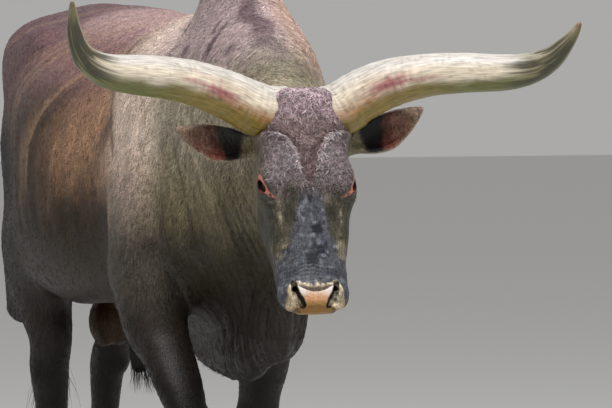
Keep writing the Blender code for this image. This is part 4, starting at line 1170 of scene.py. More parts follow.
def hide_colour(points):
    """The colour of the hide all over the body, the same for skin and coat."""
    x, y, z = points.T
    # Trunk: mauve above, tan behind the shoulder, then brown, and dark below. The pale upper flank and the
    # pale pink top of the back are the hide's own colour with a painted sheen
    bent = across_bands(points)
    lain = np.stack([0.4 * x, bent, z], 1)
    streak = 0.55 * noise(lain, (0.30, 0.075, 0.55), 21) + 0.40 * noise(lain, (0.25, 0.034, 0.40), 22)
    streak += 0.30 * noise(lain, (0.20, 0.014, 0.22), 26)
    trunk = fade(y, -0.26, -0.12)
    colour = painted(
        plain(points, 70, 52, 40),
        (158, 121, 94, fade(bent, 0.32, 0.08)),
        # Pale upper flank behind the shoulder: the hide's tan with a painted sheen
        (222, 198, 182, fade(bent, 0.02, -0.22) * fade(z, 0.86, 1.08)),
        (150, 114, 112, fade(z, 1.12, 1.30) * fade(y, -0.15, 0.10) * 0.85),
        # Pale pink top of the back: the hide's mauve with a painted sheen
        (186, 154, 152, fade(z, 1.30, 1.38) * fade(y, 0.62, 0.35) * 0.9),
        (112, 84, 88, fade(z, 1.05, 1.25) * fade(y, 0.35, 0.60) * 0.9),
        (186, 150, 116, trunk * fade(streak, 0.15, 0.75) * 0.45),
        (62, 46, 44, trunk * fade(streak, -0.10, -0.65) * 0.75),
    )
    # Shoulder and neck, each paler upwards, partly with painted light from above and painted shade below
    rear, front = shoulder_lines(points)
    shoulder = ramp(z + 0.03 * noise(points, 0.09, 29), *SHOULDER_TONES_AND_LIGHT)
    colour = mix(colour, shoulder, fade(rear + 0.03 * noise(points, 0.08, 18), 0.075, -0.060))
    upright = np.stack([x, y, 0.25 * z], 1)
    fibre = 0.6 * noise(upright, 0.024, 27) + 0.6 * noise(upright, 0.010, 28)
    neck = ramp(z + 0.04 * noise(points, 0.10, 30), *NECK_TONES_AND_LIGHT)
    neck = mix(neck, linear(100, 93, 70), fade(y, -0.60, -0.80) * 0.4)
    colour = mix(colour, neck, fade(front, 0.070, -0.075))
    colour *= (1 + 0.20 * fibre * fade(rear, 0.0, -0.02))[:, None]
    # Painted highlight along the rear and front edges of the shoulder, and painted shade just behind its
    # rear edge
    flank = fade(np.abs(x), 0.10, 0.16) * fade(z, 0.72, 0.80)
    rear_edge_highlight = flank * fade(np.abs(rear), 0.007, 0.002) * fade(z, 1.27, 1.18) * fade(z, 0.80, 0.95)
    front_edge_highlight = flank * fade(np.abs(front - 0.010), 0.008, 0.002)
    colour = painted(
        colour,
        (214, 194, 172, rear_edge_highlight * 0.6),
        (88, 70, 58, flank * fade(np.abs(rear - 0.022), 0.016, 0.004) * 0.6),
        (206, 190, 168, front_edge_highlight * fade(z, 1.27, 1.18) * fade(z, 1.02, 1.08) * 0.5),
    )
    # Hump: greyish fawn with short dark streaks, tan in front, and dark along its ridge
    hump = fade(z + 0.03 * noise(points, 0.07, 17), 1.21, 1.35)
    hump = hump * fade(y, -0.02, -0.12) * fade(y, -0.84, -0.60)
    fawn = painted(
        plain(points, 168, 148, 148),
        (214, 190, 180, fade(y, -0.30, -0.14)),
        (190, 160, 146, fade(x, -0.02, 0.04)),
    )
    spot = noise(points, (0.05, 0.018, 0.055), 23)
    ridge = fade(np.abs(x + 0.035 - 0.02 * noise(points, 0.06, 24)), 0.034, 0.010) * fade(y, -0.44, -0.52)
    colour = painted(
        mix(colour, fawn, hump),
        (92, 72, 80, hump * fade(spot, 0.30, 0.62) * fade(x, 0.0, -0.05) * 0.8),
        (88, 68, 74, hump * ridge * 0.8),
    )
    # Folds: painted shade in the crease and a painted highlight on the edge, and painted shade in the broad
    # folds and the creases at the elbow
    tight, broad = neck_folds(points)
    colour *= np.where(tight > 0.001, 1.30 - 1.0 * np.clip(tight, 0, 1), 1.0)[:, None]
    colour *= (1 - 0.50 * np.clip(broad, 0, 1) - 0.75 * elbow_creases(points))[:, None]
    # Darker below, darkest at the feet, with a tan brown scrotum. The dark belly, brisket and thigh are
    # painted shade, and the dark legs are their own colour deepened by painted shade
    low = np.where(y < -0.30, 0.04, 0.0)
    belly_shade = fade(z + 0.04 * noise(points, 0.10, 16), 1.09 - low, 0.87 - low) * fade(rear, 0.0, 0.10)
    brisket = fade(y, -0.30, -0.45)
    elbow = fade(z, 0.92, 0.80) * fade(rear, 0.02, -0.01) * fade(np.abs(x), 0.12, 0.17)
    thigh = fade(y, 0.54, 0.68) * fade(z, 1.16, 1.00)
    bag = fade(np.abs(y - 0.705), 0.080, 0.058) * fade(np.abs(x + 0.009), 0.090, 0.072)
    colour = painted(
        colour,
        # Painted shade on the belly and the brisket
        (34, 26, 14, belly_shade * 0.95),
        (46, 40, 24, brisket * fade(z, 0.93, 0.80) * 0.85),
        (38, 31, 24, brisket * fade(z, 0.80, 0.71) * fade(np.abs(x + 0.02), 0.16, 0.11)),
        (72, 65, 58, elbow * 0.8),
        # Darker low down: the legs' own dark colour, deepened by painted shade
        (44, 37, 32, fade(z, 0.78, 0.66)),
        (22, 18, 14, fade(z, 0.64, 0.50)),
        (74, 66, 64, 0.35 * fade(z, 0.10, 0.075)),
        # Painted shade on the thigh behind the barrel
        (32, 26, 25, thigh * 0.85),
        (58, 38, 16, bag * fade(z, 0.74, 0.69) * fade(z, 0.53, 0.55)),
    )
    fine = 0.20 * noise(points, (0.012, 0.012, 0.026), 25) + 0.16 * noise(points, 0.007, 19)
    return np.maximum(colour, DARKEST) * (1 + fine)[:, None]


def head_colour(points, normals):
    """The colour of the head, from its own frame."""
    spots = in_frame(points, HEAD)
    x, y, z = spots.T
    side = np.abs(x)
    front = fade(y, 0.11, 0.03)
    patch = noise(points, 0.035, 41)
    fleck = noise(points, 0.009, 43)
    # Purplish grey curls of the forehead, browner between the brow pads, with a painted highlight along the
    # rim of each pad
    brow = fade(y, 0.13, 0.06) * fade(z + 0.02 * patch, -0.265, -0.18) * fade(side, 0.125, 0.080)
    edge = np.interp(z, *np.array(BROW_EDGE).T)
    between = fade(side - edge, 0.004, -0.004) * fade(z, -0.240, -0.20) * front
    rim = fade(np.abs(side - edge - 0.004), 0.005, 0.001) * fade(z, -0.19, -0.17)
    parting = fade(np.abs(x - 0.004), 0.016, 0.004) * fade(z, -0.040, 0.0)
    crown = fade(z, -0.075, -0.012) * front
    # Slate blue nose, narrow between the eyes and as wide as the muzzle below
    half = np.interp(z, *np.array(BRIDGE_EDGE).T)
    bridge = front * fade(z, -0.20, -0.245) * fade(side - half - 0.006 * patch, 0.010, -0.008)
    # Painted shade in the hollows beside the root of the nose and under the eyes
    hollow = np.hypot((side - 0.046) / 0.016, (z + 0.272) / 0.030)
    under = np.hypot((side - 0.092) / 0.018, (z + 0.285) / 0.050)
    colour = painted(
        plain(points, 128, 118, 90),
        (70, 66, 54, fade(z, -0.15, -0.23) * 0.92),
        (124, 116, 98, fade(patch + 0.6 * fleck, 0.1, 0.8) * 0.55),
        (120, 108, 113, brow * 0.92),
        (110, 90, 88, between * 0.85),
        # Painted highlight on the rim of the brow pads
        (184, 174, 174, rim * fade(z, -0.078, -0.09) * front * 0.55),
        (172, 160, 156, parting * 0.65),
        (168, 147, 153, crown * 0.85),
        (80, 81, 90, bridge * 0.92),
        (138, 140, 150, bridge * fade(fleck + 0.3 * patch, 0.1, 0.9) * 0.6),
        (46, 48, 58, bridge * fade(fleck - 0.3 * patch, -0.1, -0.8) * 0.6),
        (46, 42, 32, fade(hollow, 1.2, 0.4) * front * 0.85),
        (60, 58, 52, fade(under, 1.3, 0.5) * 0.7),
    )
    for mid_x, mid_z, wide, tall in ((0.010, -0.309, 0.013, 0.014), (0.006, -0.368, 0.023, 0.027)):
        blot = np.hypot((x - mid_x) / wide, (z - mid_z) / tall) + 0.55 * fleck + 0.3 * patch
        colour = mix(colour, linear(20, 22, 34), fade(blot, 1.30, 0.55) * front * 0.95)
    band = fade(np.abs(z + 0.412 + 0.004 * patch), 0.012, 0.004) * fade(side, 0.075, 0.050) * front
    # Painted highlight, tan, along the facial crest, wider where it meets the cheek
    wide = np.interp(z, (-0.375, -0.345, -0.315, -0.24), (0.020, 0.016, 0.007, 0.006))
    crest_highlight = fade(np.abs(side - 0.067 - 0.05 * (z + 0.30)), wide, 0.2 * wide) * fade(z, -0.39, -0.365)
    crest_highlight = crest_highlight * fade(z, -0.205, -0.235)
    colour = painted(
        colour,
        (40, 42, 54, band * np.clip(0.6 + 0.8 * fleck, 0, 1) * 0.8),
        (156, 142, 118, crest_highlight * np.clip(0.35 + 0.5 * patch + 0.5 * fleck, 0, 1)),
    )
    colour = muzzle_colour(points, spots, front, patch, fleck, colour)
    for way, _ in SIDES:
        colour = lid_colour(points, patch + fleck, colour, way)
        colour = ear_colour(points, normals, colour, way)
    fine = 0.22 * noise(points, 0.006, 42) + 0.14 * noise(points, 0.011, 48)
    fine *= 1 - 0.7 * nose_pad(side, y, z)
    return np.maximum(colour, DARKEST) * (1 + fine)[:, None]


def muzzle_colour(points, spots, front, patch, fleck, colour):
    """Cream wings round the nostrils, dark hair with painted shade above the pink pad, a painted wet
    highlight on the pad, yellower below, and painted shade in the nostrils.
    """
    x, y, z = spots.T
    side = np.abs(x)
    ragged = 0.004 * noise(points, 0.007, 44) + 0.002 * fleck
    over = np.interp(side, *np.array(WING_EDGE).T)
    ring = fade(z, over + ragged + 0.003, over + ragged - 0.004) * fade(y + ragged, 0.075, 0.050)
    wing = painted(
        plain(points, 236, 216, 182),
        (170, 144, 100, fade(side + 2 * ragged, 0.052, 0.068)),
        # Browner low on the wing, partly in patches of its own and partly painted shade below the nostril
        (150, 122, 80, fade(z, -0.460, -0.480) * fade(patch, -0.4, 0.6) * 0.8),
    )
    colour = mix(colour, wing, ring * np.clip(0.85 + 0.35 * patch + 0.3 * fleck, 0, 1))
    # Dark hair above the pad, deepened by painted shade
    top = pad_top(side)
    shade = fade(z, top + 0.019 - 9 * side**2, top + 0.009 - 6 * side**2)
    shade = shade * fade(z, top - 0.002, top + 0.001)
    colour = mix(colour, linear(66, 46, 46), shade * fade(side, 0.042, 0.032) * front * 0.9)
    grain = noise(points, 0.0028, 47)
    tint = painted(
        plain(points, 206, 156, 118),
        # Painted highlight, a wet gloss, whitening the upper corners of the pad
        (226, 212, 204, fade(z, -0.474, -0.457) * (0.35 + 0.65 * fade(side, 0.008, 0.026))),
        (164, 122, 56, fade(z, -0.474, -0.488)),
        (96, 62, 44, fade(grain, 0.45, 0.75) * fade(z, -0.458, -0.470) * 0.7),
    )
    colour = mix(colour, tint, nose_pad(side, y, z))
    lip = fade(z, -0.486, -0.492) * fade(y, 0.075, 0.055)
    # Painted shade inside the nostrils
    dark = np.zeros(len(points))
    for start, end, start_radius, end_radius in NOSTRIL_LINES:
        start, axis = np.array(start), np.array(end - start)
        t = np.clip((spots - start) @ axis / (axis @ axis), 0, 1)
        away = np.linalg.norm(spots - start - t[:, None] * axis, axis=1)
        away -= start_radius + t * (end_radius - start_radius)
        dark = np.maximum(dark, fade(away, 0.0043, 0.0024))
    return painted(
        colour,
        (62, 50, 38, lip * 0.9),
        (134, 96, 44, lip * fade(side + 2 * ragged, 0.042, 0.030)),
        (14, 10, 10, dark),
        # Chin and lower lip
        (60, 52, 42, fade(z, -0.47, -0.49) * fade(y, 0.06, 0.09) * 0.8),
    )


def lid_colour(points, speckle, colour, way):
    """The upper lid pink and full towards the outer corner, the lower one dark with a thin pink edge."""
    ex, ey, ez = at_eye(points, way)
    on = fade(ey, 0.004, -0.004)
    ring = lid_ring(ex, ez)
    upper = fade(ez, -0.003, 0.003)
    thick = 1.10 + 0.34 * upper * fade(ex, 0.012, -0.008)
    rim = fade(ring, thick + 0.10, thick - 0.04) * on
    inner_edge = fade(np.abs(ring - 0.96), 0.05, 0.02) * (0.25 + 0.6 * fade(ex, -0.010, 0.012))
    tint = painted(
        plain(points, 44, 31, 32),
        (176, 112, 99, upper),
        (214, 160, 148, fade(speckle, 0.2, 0.9) * upper * 0.5),
        (150, 84, 76, inner_edge),
    )
    colour = mix(colour, linear(62, 56, 58), fade(ring, 2.1, 1.3) * on * 0.75)
    colour = mix(colour, tint, rim * 0.92)
    taper = np.interp(ex, (0.022, 0.030, 0.052), (0.0052, 0.0044, 0.0011))
    nook = fade(np.abs(ez + 0.09 * (ex - 0.022)), taper + 0.0014, taper - 0.0006) * fade(ex, 0.020, 0.024)
    line = fade(np.abs(ring - thick - 0.13), 0.12, 0.03) * on * fade(ex, 0.030, 0.018)
    return painted(
        colour,
        (196, 124, 108, nook * fade(ex, 0.053, 0.044) * on * 0.9),
        (34, 26, 27, line * 0.8),
    )


def hairiness(points, head):
    """One where hair grows, nought on the bare pad of the nose and the rims of the eyes."""
    x, y, z = in_frame(points, HEAD).T
    bare = np.maximum(nose_pad(np.abs(x), y, z), fade(z, -0.484, -0.490) * fade(y, 0.080, 0.060))
    for way, _ in SIDES:
        ex, ey, ez = at_eye(points, way)
        on = fade(ey, 0.004, -0.004)
        ring = fade(lid_ring(ex, ez), 1.7, 1.2) * on
        nook = fade(np.abs(ez), 0.007, 0.004) * fade(ex, 0.018, 0.024) * fade(ex, 0.054, 0.046)
        bare = np.maximum(bare, np.maximum(ring, nook * on))
    return 1 - bare * head


def ear_colour(points, normals, colour, way):
    """Pinkish brown inside the ear, black towards its root, with a thin pale rim."""
    frame_of = ear_frame(way)
    lx, ly, lz = in_frame(points, frame_of).T
    up = -way * lx
    lobe = fade(lz, 0.030, 0.045) * fade(ly, 0.12, 0.06) * fade(np.abs(lx), 0.09, 0.07)
    opening = normals @ np.array(frame_of.to_3x3() @ Vector((0.0, -1.0, 0.0)))
    patch = noise(points, (0.03, 0.03, 0.016), 45)
    start = 0.088 + 0.45 * up + 0.006 * patch
    tint = painted(
        plain(points, 134, 96, 84),
        (150, 124, 106, fade(lz, 0.13, 0.17)),
        (158, 122, 104, fade(patch, 0.0, 0.7) * 0.6),
        (66, 54, 38, fade(up, 0.012, 0.026) * 0.7),
        (84, 32, 24, fade(np.abs(lz - start - 0.010), 0.022, 0.006) * 0.7),
        (146, 80, 70, fade(up, -0.018, -0.034) * fade(lz, 0.12, 0.10) * 0.7),
        (18, 17, 20, fade(lz, start + 0.010, start - 0.006)),
    )
    colour = mix(colour, linear(44, 42, 43), lobe)
    colour = mix(colour, tint, lobe * fade(opening, -0.05, 0.25))
    place, middle, _, half, _, _ = np.array(EAR[1:]).T
    off = np.abs(up + np.interp(lz, place, middle)) / np.interp(lz, place, half)
    return mix(colour, linear(176, 164, 140), lobe * fade(off, 0.88, 0.97) * fade(opening, -0.6, 0.0) * 0.8)


def feed(tree, node, values):
    """Sets inputs of a node, each to a value or to a link from another node's output."""
    for name, value in values.items():
        if isinstance(value, bpy.types.NodeSocket):
            tree.links.new(value, node.inputs[name])
        else:
            node.inputs[name].default_value = value


def add(tree, kind, values, output, **settings):
    """Adds a node and gives that output of it."""
    node = tree.nodes.new(f"ShaderNode{kind}")
    for name, value in settings.items():
        setattr(node, name, value)
    feed(tree, node, values)
    return node.outputs[output]


def ranged(tree, value, to_min, to_max, from_min=0.0, from_max=1.0):
    """A value taken from one range to another."""
    ends = {"From Min": from_min, "From Max": from_max, "To Min": to_min, "To Max": to_max}
    return add(tree, "MapRange", {"Value": value, **ends}, "Result")


def multiplied(tree, tone, shade, share):
    """A tone darkened or lightened by a shade."""
    values = {"A": tone, "B": shade, "Factor": share}
    return add(tree, "Mix", values, "Result", data_type="RGBA", blend_type="MULTIPLY")


def new_material(name):
    """A material, its tree and shader, and the output with the painted tone."""
    material = bpy.data.materials.new(name)
    material.use_nodes = True
    tree = material.node_tree
    tone = add(tree, "Attribute", {}, "Color", attribute_name="tone")
    return material, tree, tree.nodes["Principled BSDF"], tone


def hide_material():
    """Hide with a grain of hair. Bare skin keeps only a trace of the grain, and is moister."""
    material, tree, shader, tone = new_material("hide")
    hair = add(tree, "Attribute", {}, "Fac", attribute_name="hair")
    place = add(tree, "NewGeometry", {}, "Position")
    fibres = add(tree, "Mapping", {"Vector": place, "Scale": (230.0, 230.0, 46.0)}, "Vector")
    grain = add(tree, "TexNoise", {"Vector": fibres, "Scale": 1.0, "Detail": 3.0}, "Fac")
    speck = add(tree, "TexNoise", {"Vector": place, "Scale": 280.0, "Detail": 3.0}, "Fac")
    rough = add(tree, "Math", {0: grain, 1: speck}, "Value", operation="ADD")
    shade = ranged(tree, rough, 0.30, 1.70, 0.7, 1.3)
    tinted = multiplied(tree, tone, shade, ranged(tree, hair, 0.15, 1.0))
    strength = ranged(tree, hair, 0.12, 0.5)
    bump = add(tree, "Bump", {"Distance": 0.0015, "Height": rough, "Strength": strength}, "Normal")
    gloss = ranged(tree, hair, 0.28, 0.46)
    looks = {"Specular IOR Level": 0.25, "Base Color": tinted, "Roughness": gloss, "Normal": bump}
    feed(tree, shader, looks)
    return material


def horn_material():
    """Horn with fine streaks along it."""
    material, tree, shader, tone = new_material("horn")
    place = add(tree, "Attribute", {}, "Vector", attribute_name="place")
    lay = add(tree, "Mapping", {"Vector": place, "Scale": (28.0, 260.0, 260.0)}, "Vector")
    streak = add(tree, "TexNoise", {"Vector": lay, "Scale": 1.0, "Detail": 4.0}, "Fac")
    tinted = multiplied(tree, tone, ranged(tree, streak, 0.62, 1.22, 0.3, 0.7), 1.0)
    bump = add(tree, "Bump", {"Strength": 0.35, "Distance": 0.001, "Height": streak}, "Normal")
    feed(tree, shader, {"Roughness": 0.42, "Base Color": tinted, "Normal": bump})
    return material


def toned_material(name, roughness, specular=0.2):
    """The painted tone alone, for the coat, eyes, claws and long hair."""
    material, tree, shader, tone = new_material(name)
    feed(tree, shader, {"Roughness": roughness, "Specular IOR Level": specular, "Base Color": tone})
    return material


def moved(piece):
    """Puts a finished piece from the body's frame into the model's."""
    piece.data.transform(Matrix.Translation(SHIFT))
    return piece


forms = all_forms()
skin, is_head = build_skin(forms)
skin_points, skin_normals = points_of(skin), normals_of(skin)
tones = hide_colour(skin_points)
cut_at, cut_way = np.array(NECK_CUT[0]), np.array(NECK_CUT[1])
face_share = fade(in_frame(skin_points, HEAD)[:, 1], 0.26, 0.16)
face_share = face_share * fade((skin_points - cut_at) @ cut_way, -0.02, 0.06)
tones = mix(tones, head_colour(skin_points, skin_normals), face_share)
haired = hairiness(skin_points, is_head)
# Painted shade among the hairs: the skin is darker than the coat that grows on it
paint(skin, "tone", tones * (1 - 0.22 * haired)[:, None])
paint(skin, "hair", haired)
skin.data.materials.append(hide_material())

# Coat

# The pieces of the coat, each with its count of tufts
AREAS = (
    ("coat_face", 18500),
    ("coat_forehead", 8500),
    ("coat_neck_left", 12000),
    ("coat_neck_right", 18500),
    ("coat_hump", 12000),
    ("coat_trunk_left", 15500),
    ("coat_trunk_right", 18500),
    ("coat_forelegs", 9500),
    ("coat_hindlegs", 12500),
)


def area_of(points, head):
    """The number in AREAS of the coat that grows at each point, or -1 where none does."""
    x, y, z = points.T
    area = np.where(y < -0.42, np.where(x > -0.01, 2, 3), np.where(x > 0, 5, 6))
    area = np.where((z > 1.30) & (y > -0.62) & (y < 0.02), 4, area)
    area = np.where((z < 0.66) & (y < 0.30), 7, area)
    area = np.where((z < 0.66) & (y >= 0.30) | (y > 1.10), 8, area)
    hx, hy, hz = in_frame(points, HEAD).T
    face = np.where((hz > -0.225) & (hy < 0.085) & (np.abs(hx) < 0.092), 1, 0)
    area = np.where(head, face, area)
    bald = head & ((nose_pad(np.abs(hx), hy, hz) > 0.01) | ((hz < -0.484) & (hy < 0.07)))
    slit = np.array(NOSTRIL)
    middle = np.interp(hz, slit[::-1, 2], slit[::-1, 0])
    bald |= head & (np.abs(np.abs(hx) - middle) < 0.011) & (hz < -0.432) & (hy < 0.09)
    for way, _ in SIDES:
        ex, ey, ez = at_eye(points, way)
        bald |= head & (lid_ring(ex, ez) < 1.75) & (ey < 0.006)
        bald |= head & (np.hypot((ex - 0.034) / 0.022, ez / 0.008) < 1.0) & (ey < 0.006)
    area[bald] = -1
    return area


def hair_way(points, head):
    """The way the hair lies, before it is laid along the skin."""
    x, y, z = points.T
    way = np.tile(np.array([0.0, 1.0, -0.55]), (len(points), 1))
    for back, share in (
        (0.45, fade(y, -0.30, -0.60)),
        (0.25, fade(z, 0.85, 0.62)),
        (0.1, fade(y, 1.03, 1.06) * fade(z, 0.60, 0.70)),
    ):
        way = mix(way, np.array([0.0, back, -1.0]), share)
    sideways = np.sign(in_frame(points, HEAD)[:, 0]) * 0.25
    down = np.stack([sideways, 0.35 + 0 * x, -1.0 + 0 * x], 1) @ np.array(HEAD.to_3x3(), float).T
    way = np.where(head[:, None], down, way)
    for side, _ in SIDES:
        ear = ear_frame(side)
        along = in_frame(points, ear)[:, 2]
        out = np.array(ear.to_3x3() @ Vector((0, 0, 1)))
        way = np.where((head & (along > 0.03))[:, None], out, way)
    return way


def roots_on(piece_points, piece_normals, tris, count):
    """Points spread over triangles, and their normals."""
    a, b, c = (piece_points[tris[:, k]] for k in range(3))
    size = np.linalg.norm(np.cross(b - a, c - a), axis=1)
    pick = np.sort(RNG.choice(len(tris), count, p=size / size.sum()))
    u, v = RNG.random(count), RNG.random(count)
    over = u + v > 1
    u[over], v[over] = 1 - u[over], 1 - v[over]
    w = 1 - u - v
    spot = sum(k[:, None] * piece_points[tris[pick, i]] for i, k in enumerate((w, u, v)))
    normal = sum(k[:, None] * piece_normals[tris[pick, i]] for i, k in enumerate((w, u, v)))
    return spot, normal / np.linalg.norm(normal, axis=1, keepdims=True)


def unwrap(name, points, tris):
    """The skin of one area laid out flat: its own thinned triangles and their places on the map."""
    used, index = np.unique(tris, return_inverse=True)
    proxy = mesh_from(name, points[used], [index.reshape(-1, 3)])
    thin = proxy.modifiers.new("thin", "DECIMATE")
    thin.ratio = min(1.0, 5000 / len(tris))
    proxy.modifiers.new("three", "TRIANGULATE")
    graph = bpy.context.evaluated_depsgraph_get()
    mesh = bpy.data.meshes.new_from_object(proxy.evaluated_get(graph))
    proxy.modifiers.clear()
    proxy.data = mesh
    bpy.context.view_layer.objects.active = proxy
    bpy.ops.object.select_all(action="DESELECT")
    proxy.select_set(True)
    bpy.ops.object.mode_set(mode="EDIT")
    bpy.ops.mesh.select_all(action="SELECT")
    bpy.ops.uv.smart_project(angle_limit=math.radians(66), island_margin=0.004)
    bpy.ops.object.mode_set(mode="OBJECT")
    mesh = proxy.data
    corners = np.zeros(len(mesh.loops), np.int32)
    mesh.loops.foreach_get("vertex_index", corners)
    places = np.zeros(len(mesh.loops) * 2, np.float32)
    mesh.uv_layers[0].uv.foreach_get("vector", places)
    spots = points_of(proxy)
    bpy.data.objects.remove(proxy)
    return spots, corners.reshape(-1, 3), places.reshape(-1, 3, 2)


def map_places(roots, spots, corners, places):
    """Where roots lie on the unwrap of their skin."""
    tree = BVHTree.FromPolygons(spots.tolist(), corners.tolist())
    found = [tree.find_nearest(root) for root in roots.tolist()]
    index = np.array([f[2] for f in found])
    near = np.array([f[0] for f in found])
    a, b, c = (spots[corners[index, k]] for k in range(3))
    e, f, g = b - a, c - a, near - a
    ee, ef, ff = (e * e).sum(1), (e * f).sum(1), (f * f).sum(1)
    ge, gf = (g * e).sum(1), (g * f).sum(1)
    scale = ee * ff - ef * ef + 1e-18
    v = (ff * ge - ef * gf) / scale
    w = (ee * gf - ef * ge) / scale
    weights = np.clip(np.stack([1 - v - w, v, w], 1), 0, 1)
    weights /= weights.sum(1, keepdims=True)
    return (weights[:, :, None] * places[index]).sum(1)


def unit(ways):
    """Ways of length one."""
    return ways / (np.linalg.norm(ways, axis=-1, keepdims=True) + 1e-9)


def prism_quads(rows):
    """The quads between rings of three points in a row."""
    return [
        (3 * k + i, 3 * k + (i + 1) % 3, 3 * k + 3 + (i + 1) % 3, 3 * k + 3 + i)
        for k in range(rows - 1)
        for i in range(3)
    ]


def tufts(name, roots, normals, lie, length, width, lift, swirl, tone, places, rings):
    """Closed tapered tufts of three sides that bend along the skin, as one mesh.

    swirl is how far each turns sideways on its way, and lift how far its middle stands out.
    """
    count = len(roots)
    lie = unit(lie - normals * (lie * normals).sum(1, keepdims=True))
    across = np.cross(normals, lie)
    length, width, lift, swirl = (
        np.broadcast_to(value, (count,))[:, None] for value in (length, width, lift, swirl)
    )
    points, painted_shading, offsets = [], [], []
    for k in range(rings + 1):
        t = k / rings
        bow = math.sin(math.pi * min(1.0, 0.15 + 0.75 * t))
        centre = roots - normals * 0.0008 + lie * length * t + normals * lift * (bow - 0.35 * (1 - t))
        centre = centre + across * length * swirl * (0.5 - 0.5 * math.cos(math.pi * t))
        if k == rings:
            points.append(centre)
            offsets.append((0.0, 1.0))
            painted_shading.append(1.25)
            continue
        half = width * 0.5 * (1.0, 0.92, 0.7, 0.5)[k]
        points += [centre + across * half, centre - across * half, centre + normals * half * 2 * 0.4]
        offsets += [(1.0, 2 * t - 1), (-1.0, 2 * t - 1), (0.0, 2 * t - 1)]
        # Each tuft is darker at its root, where painted shade falls among the hairs, and paler towards its
        # tip
        painted_shading += [0.80 + 0.35 * t] * 3
    points = np.stack(points, 1).reshape(-1, 3)
    tip = 3 * rings
    tris = [(1, 0, 2)] + [(tip - 3 + i, tip - 3 + (i + 1) % 3, tip) for i in range(3)]
    stride = (tip + 1) * np.arange(count)[:, None, None]
    faces = [
        (np.array(group)[None, :, ::-1] + stride).reshape(-1, len(group[0]))
        for group in (tris, prism_quads(rings))
    ]
    piece = mesh_from(name, points, faces)
    painted_shading = np.array(painted_shading)[None, :, None]
    paint(piece, "tone", (tone[:, None, :] * painted_shading).reshape(-1, 3))
    offsets = np.array(offsets) * 0.0015
    spots = (places[:, None, :] + offsets[None]).reshape(-1, 2)
    corners = np.concatenate([group.ravel() for group in faces])
    layer = piece.data.uv_layers.new(name="OFBake")
    layer.uv.foreach_set("vector", spots[corners].astype(np.float32).ravel())
    # Shaded mostly as the skin they lie on, so that a tuft reads as hair
    lean = unit(np.repeat(normals, tip + 1, 0) + 0.45 * normals_of(piece))
    piece.data.normals_split_custom_set_from_vertices(lean)
    return piece


def build_coat():
    """The coat, one piece of tufts for each area."""
    skin.data.calc_loop_triangles()
    tris = np.zeros(len(skin.data.loop_triangles) * 3, np.int32)
    skin.data.loop_triangles.foreach_get("vertices", tris)
    tris = tris.reshape(-1, 3)
    area = area_of(skin_points[tris].mean(1), is_head[tris[:, 0]])
    coats = []
    look = toned_material("coat", 0.42)
    for number, (name, count) in enumerate(AREAS):
        count = int(count * TUFT_SHARE)
        own = tris[area == number]
        roots, normals = roots_on(skin_points, skin_normals, own, count)
        on_head = name in ("coat_face", "coat_forehead")
        lie = hair_way(roots, np.full(count, on_head))
        lie /= np.linalg.norm(lie, axis=1, keepdims=True)
        tone = head_colour(roots, normals) if on_head else hide_colour(roots)
        vary = RNG.normal(1.0, 0.34, (count, 1)).clip(0.35, 2.0)
        tone = tone * vary * (1 + RNG.normal(0, 0.03, (count, 3)))
        rings = 2
        if name == "coat_forehead":
            lie = lie + RNG.normal(0, 0.8, (count, 3))
            size = RNG.uniform(0.008, 0.013, count)
            shape = (size, size * 0.20, 0.0022, RNG.choice([-0.6, 0.6], count))
            tone = tone * RNG.normal(1.12, 0.36, (count, 1)).clip(0.4, 2.2)
            rings = 3
        elif name == "coat_face":
            lie = lie + RNG.normal(0, 0.22, (count, 3))
            size = RNG.uniform(0.005, 0.008, count)
            shape = (size, size * 0.15, 0.0006, RNG.normal(0, 0.2, count))
        else:
            lie = lie + RNG.normal(0, 0.20, (count, 3))
            size = RNG.uniform(0.011, 0.018, count) * (0.55 + 0.45 * fade(roots[:, 2], 0.1, 0.7))
            shape = (size, size * 0.12, 0.0012, RNG.normal(0, 0.2, count))
        places = map_places(roots, *unwrap(name, skin_points, own))
        coat = tufts(name, roots, normals, lie, *shape, tone, places, rings)
        coat.data.materials.append(look)
        coats.append(coat)
    return coats


coats = build_coat()


# Horns


def tube(spots, reach, sides, across):
    """Points of rings square to a curve, and the way out of it at each."""
    ahead = np.gradient(spots, axis=0)
    ahead /= np.linalg.norm(ahead, axis=1, keepdims=True)
    wide = across - ahead * (ahead @ across)[:, None]
    wide /= np.linalg.norm(wide, axis=1, keepdims=True)
    deep = np.cross(ahead, wide)
    turn = circle(sides)
    ring = np.cos(turn)[None, :, None] * wide[:, None] + np.sin(turn)[None, :, None] * deep[:, None]
    return spots[:, None, :] + ring * reach[:, :, None], ring


def tube_faces(rows, sides):
    """Quads and end triangles of rings in a row, with a middle point at each end."""
    k = np.arange(rows - 1)[:, None] * sides
    i = np.arange(sides)[None, :]
    j = (i + 1) % sides
    quads = np.stack([k + i, k + j, k + sides + j, k + sides + i], -1).reshape(-1, 4)
    first, last = rows * sides, rows * sides + 1
    i, j = i[0], j[0]
    start = np.stack([np.full(sides, first), j, i], -1)
    end = np.stack([np.full(sides, last), (rows - 1) * sides + i, (rows - 1) * sides + j], -1)
    return quads, np.concatenate([start, end])


def circle(sides):
    """Even angles once round."""
    return 2 * math.pi * np.arange(sides) / sides


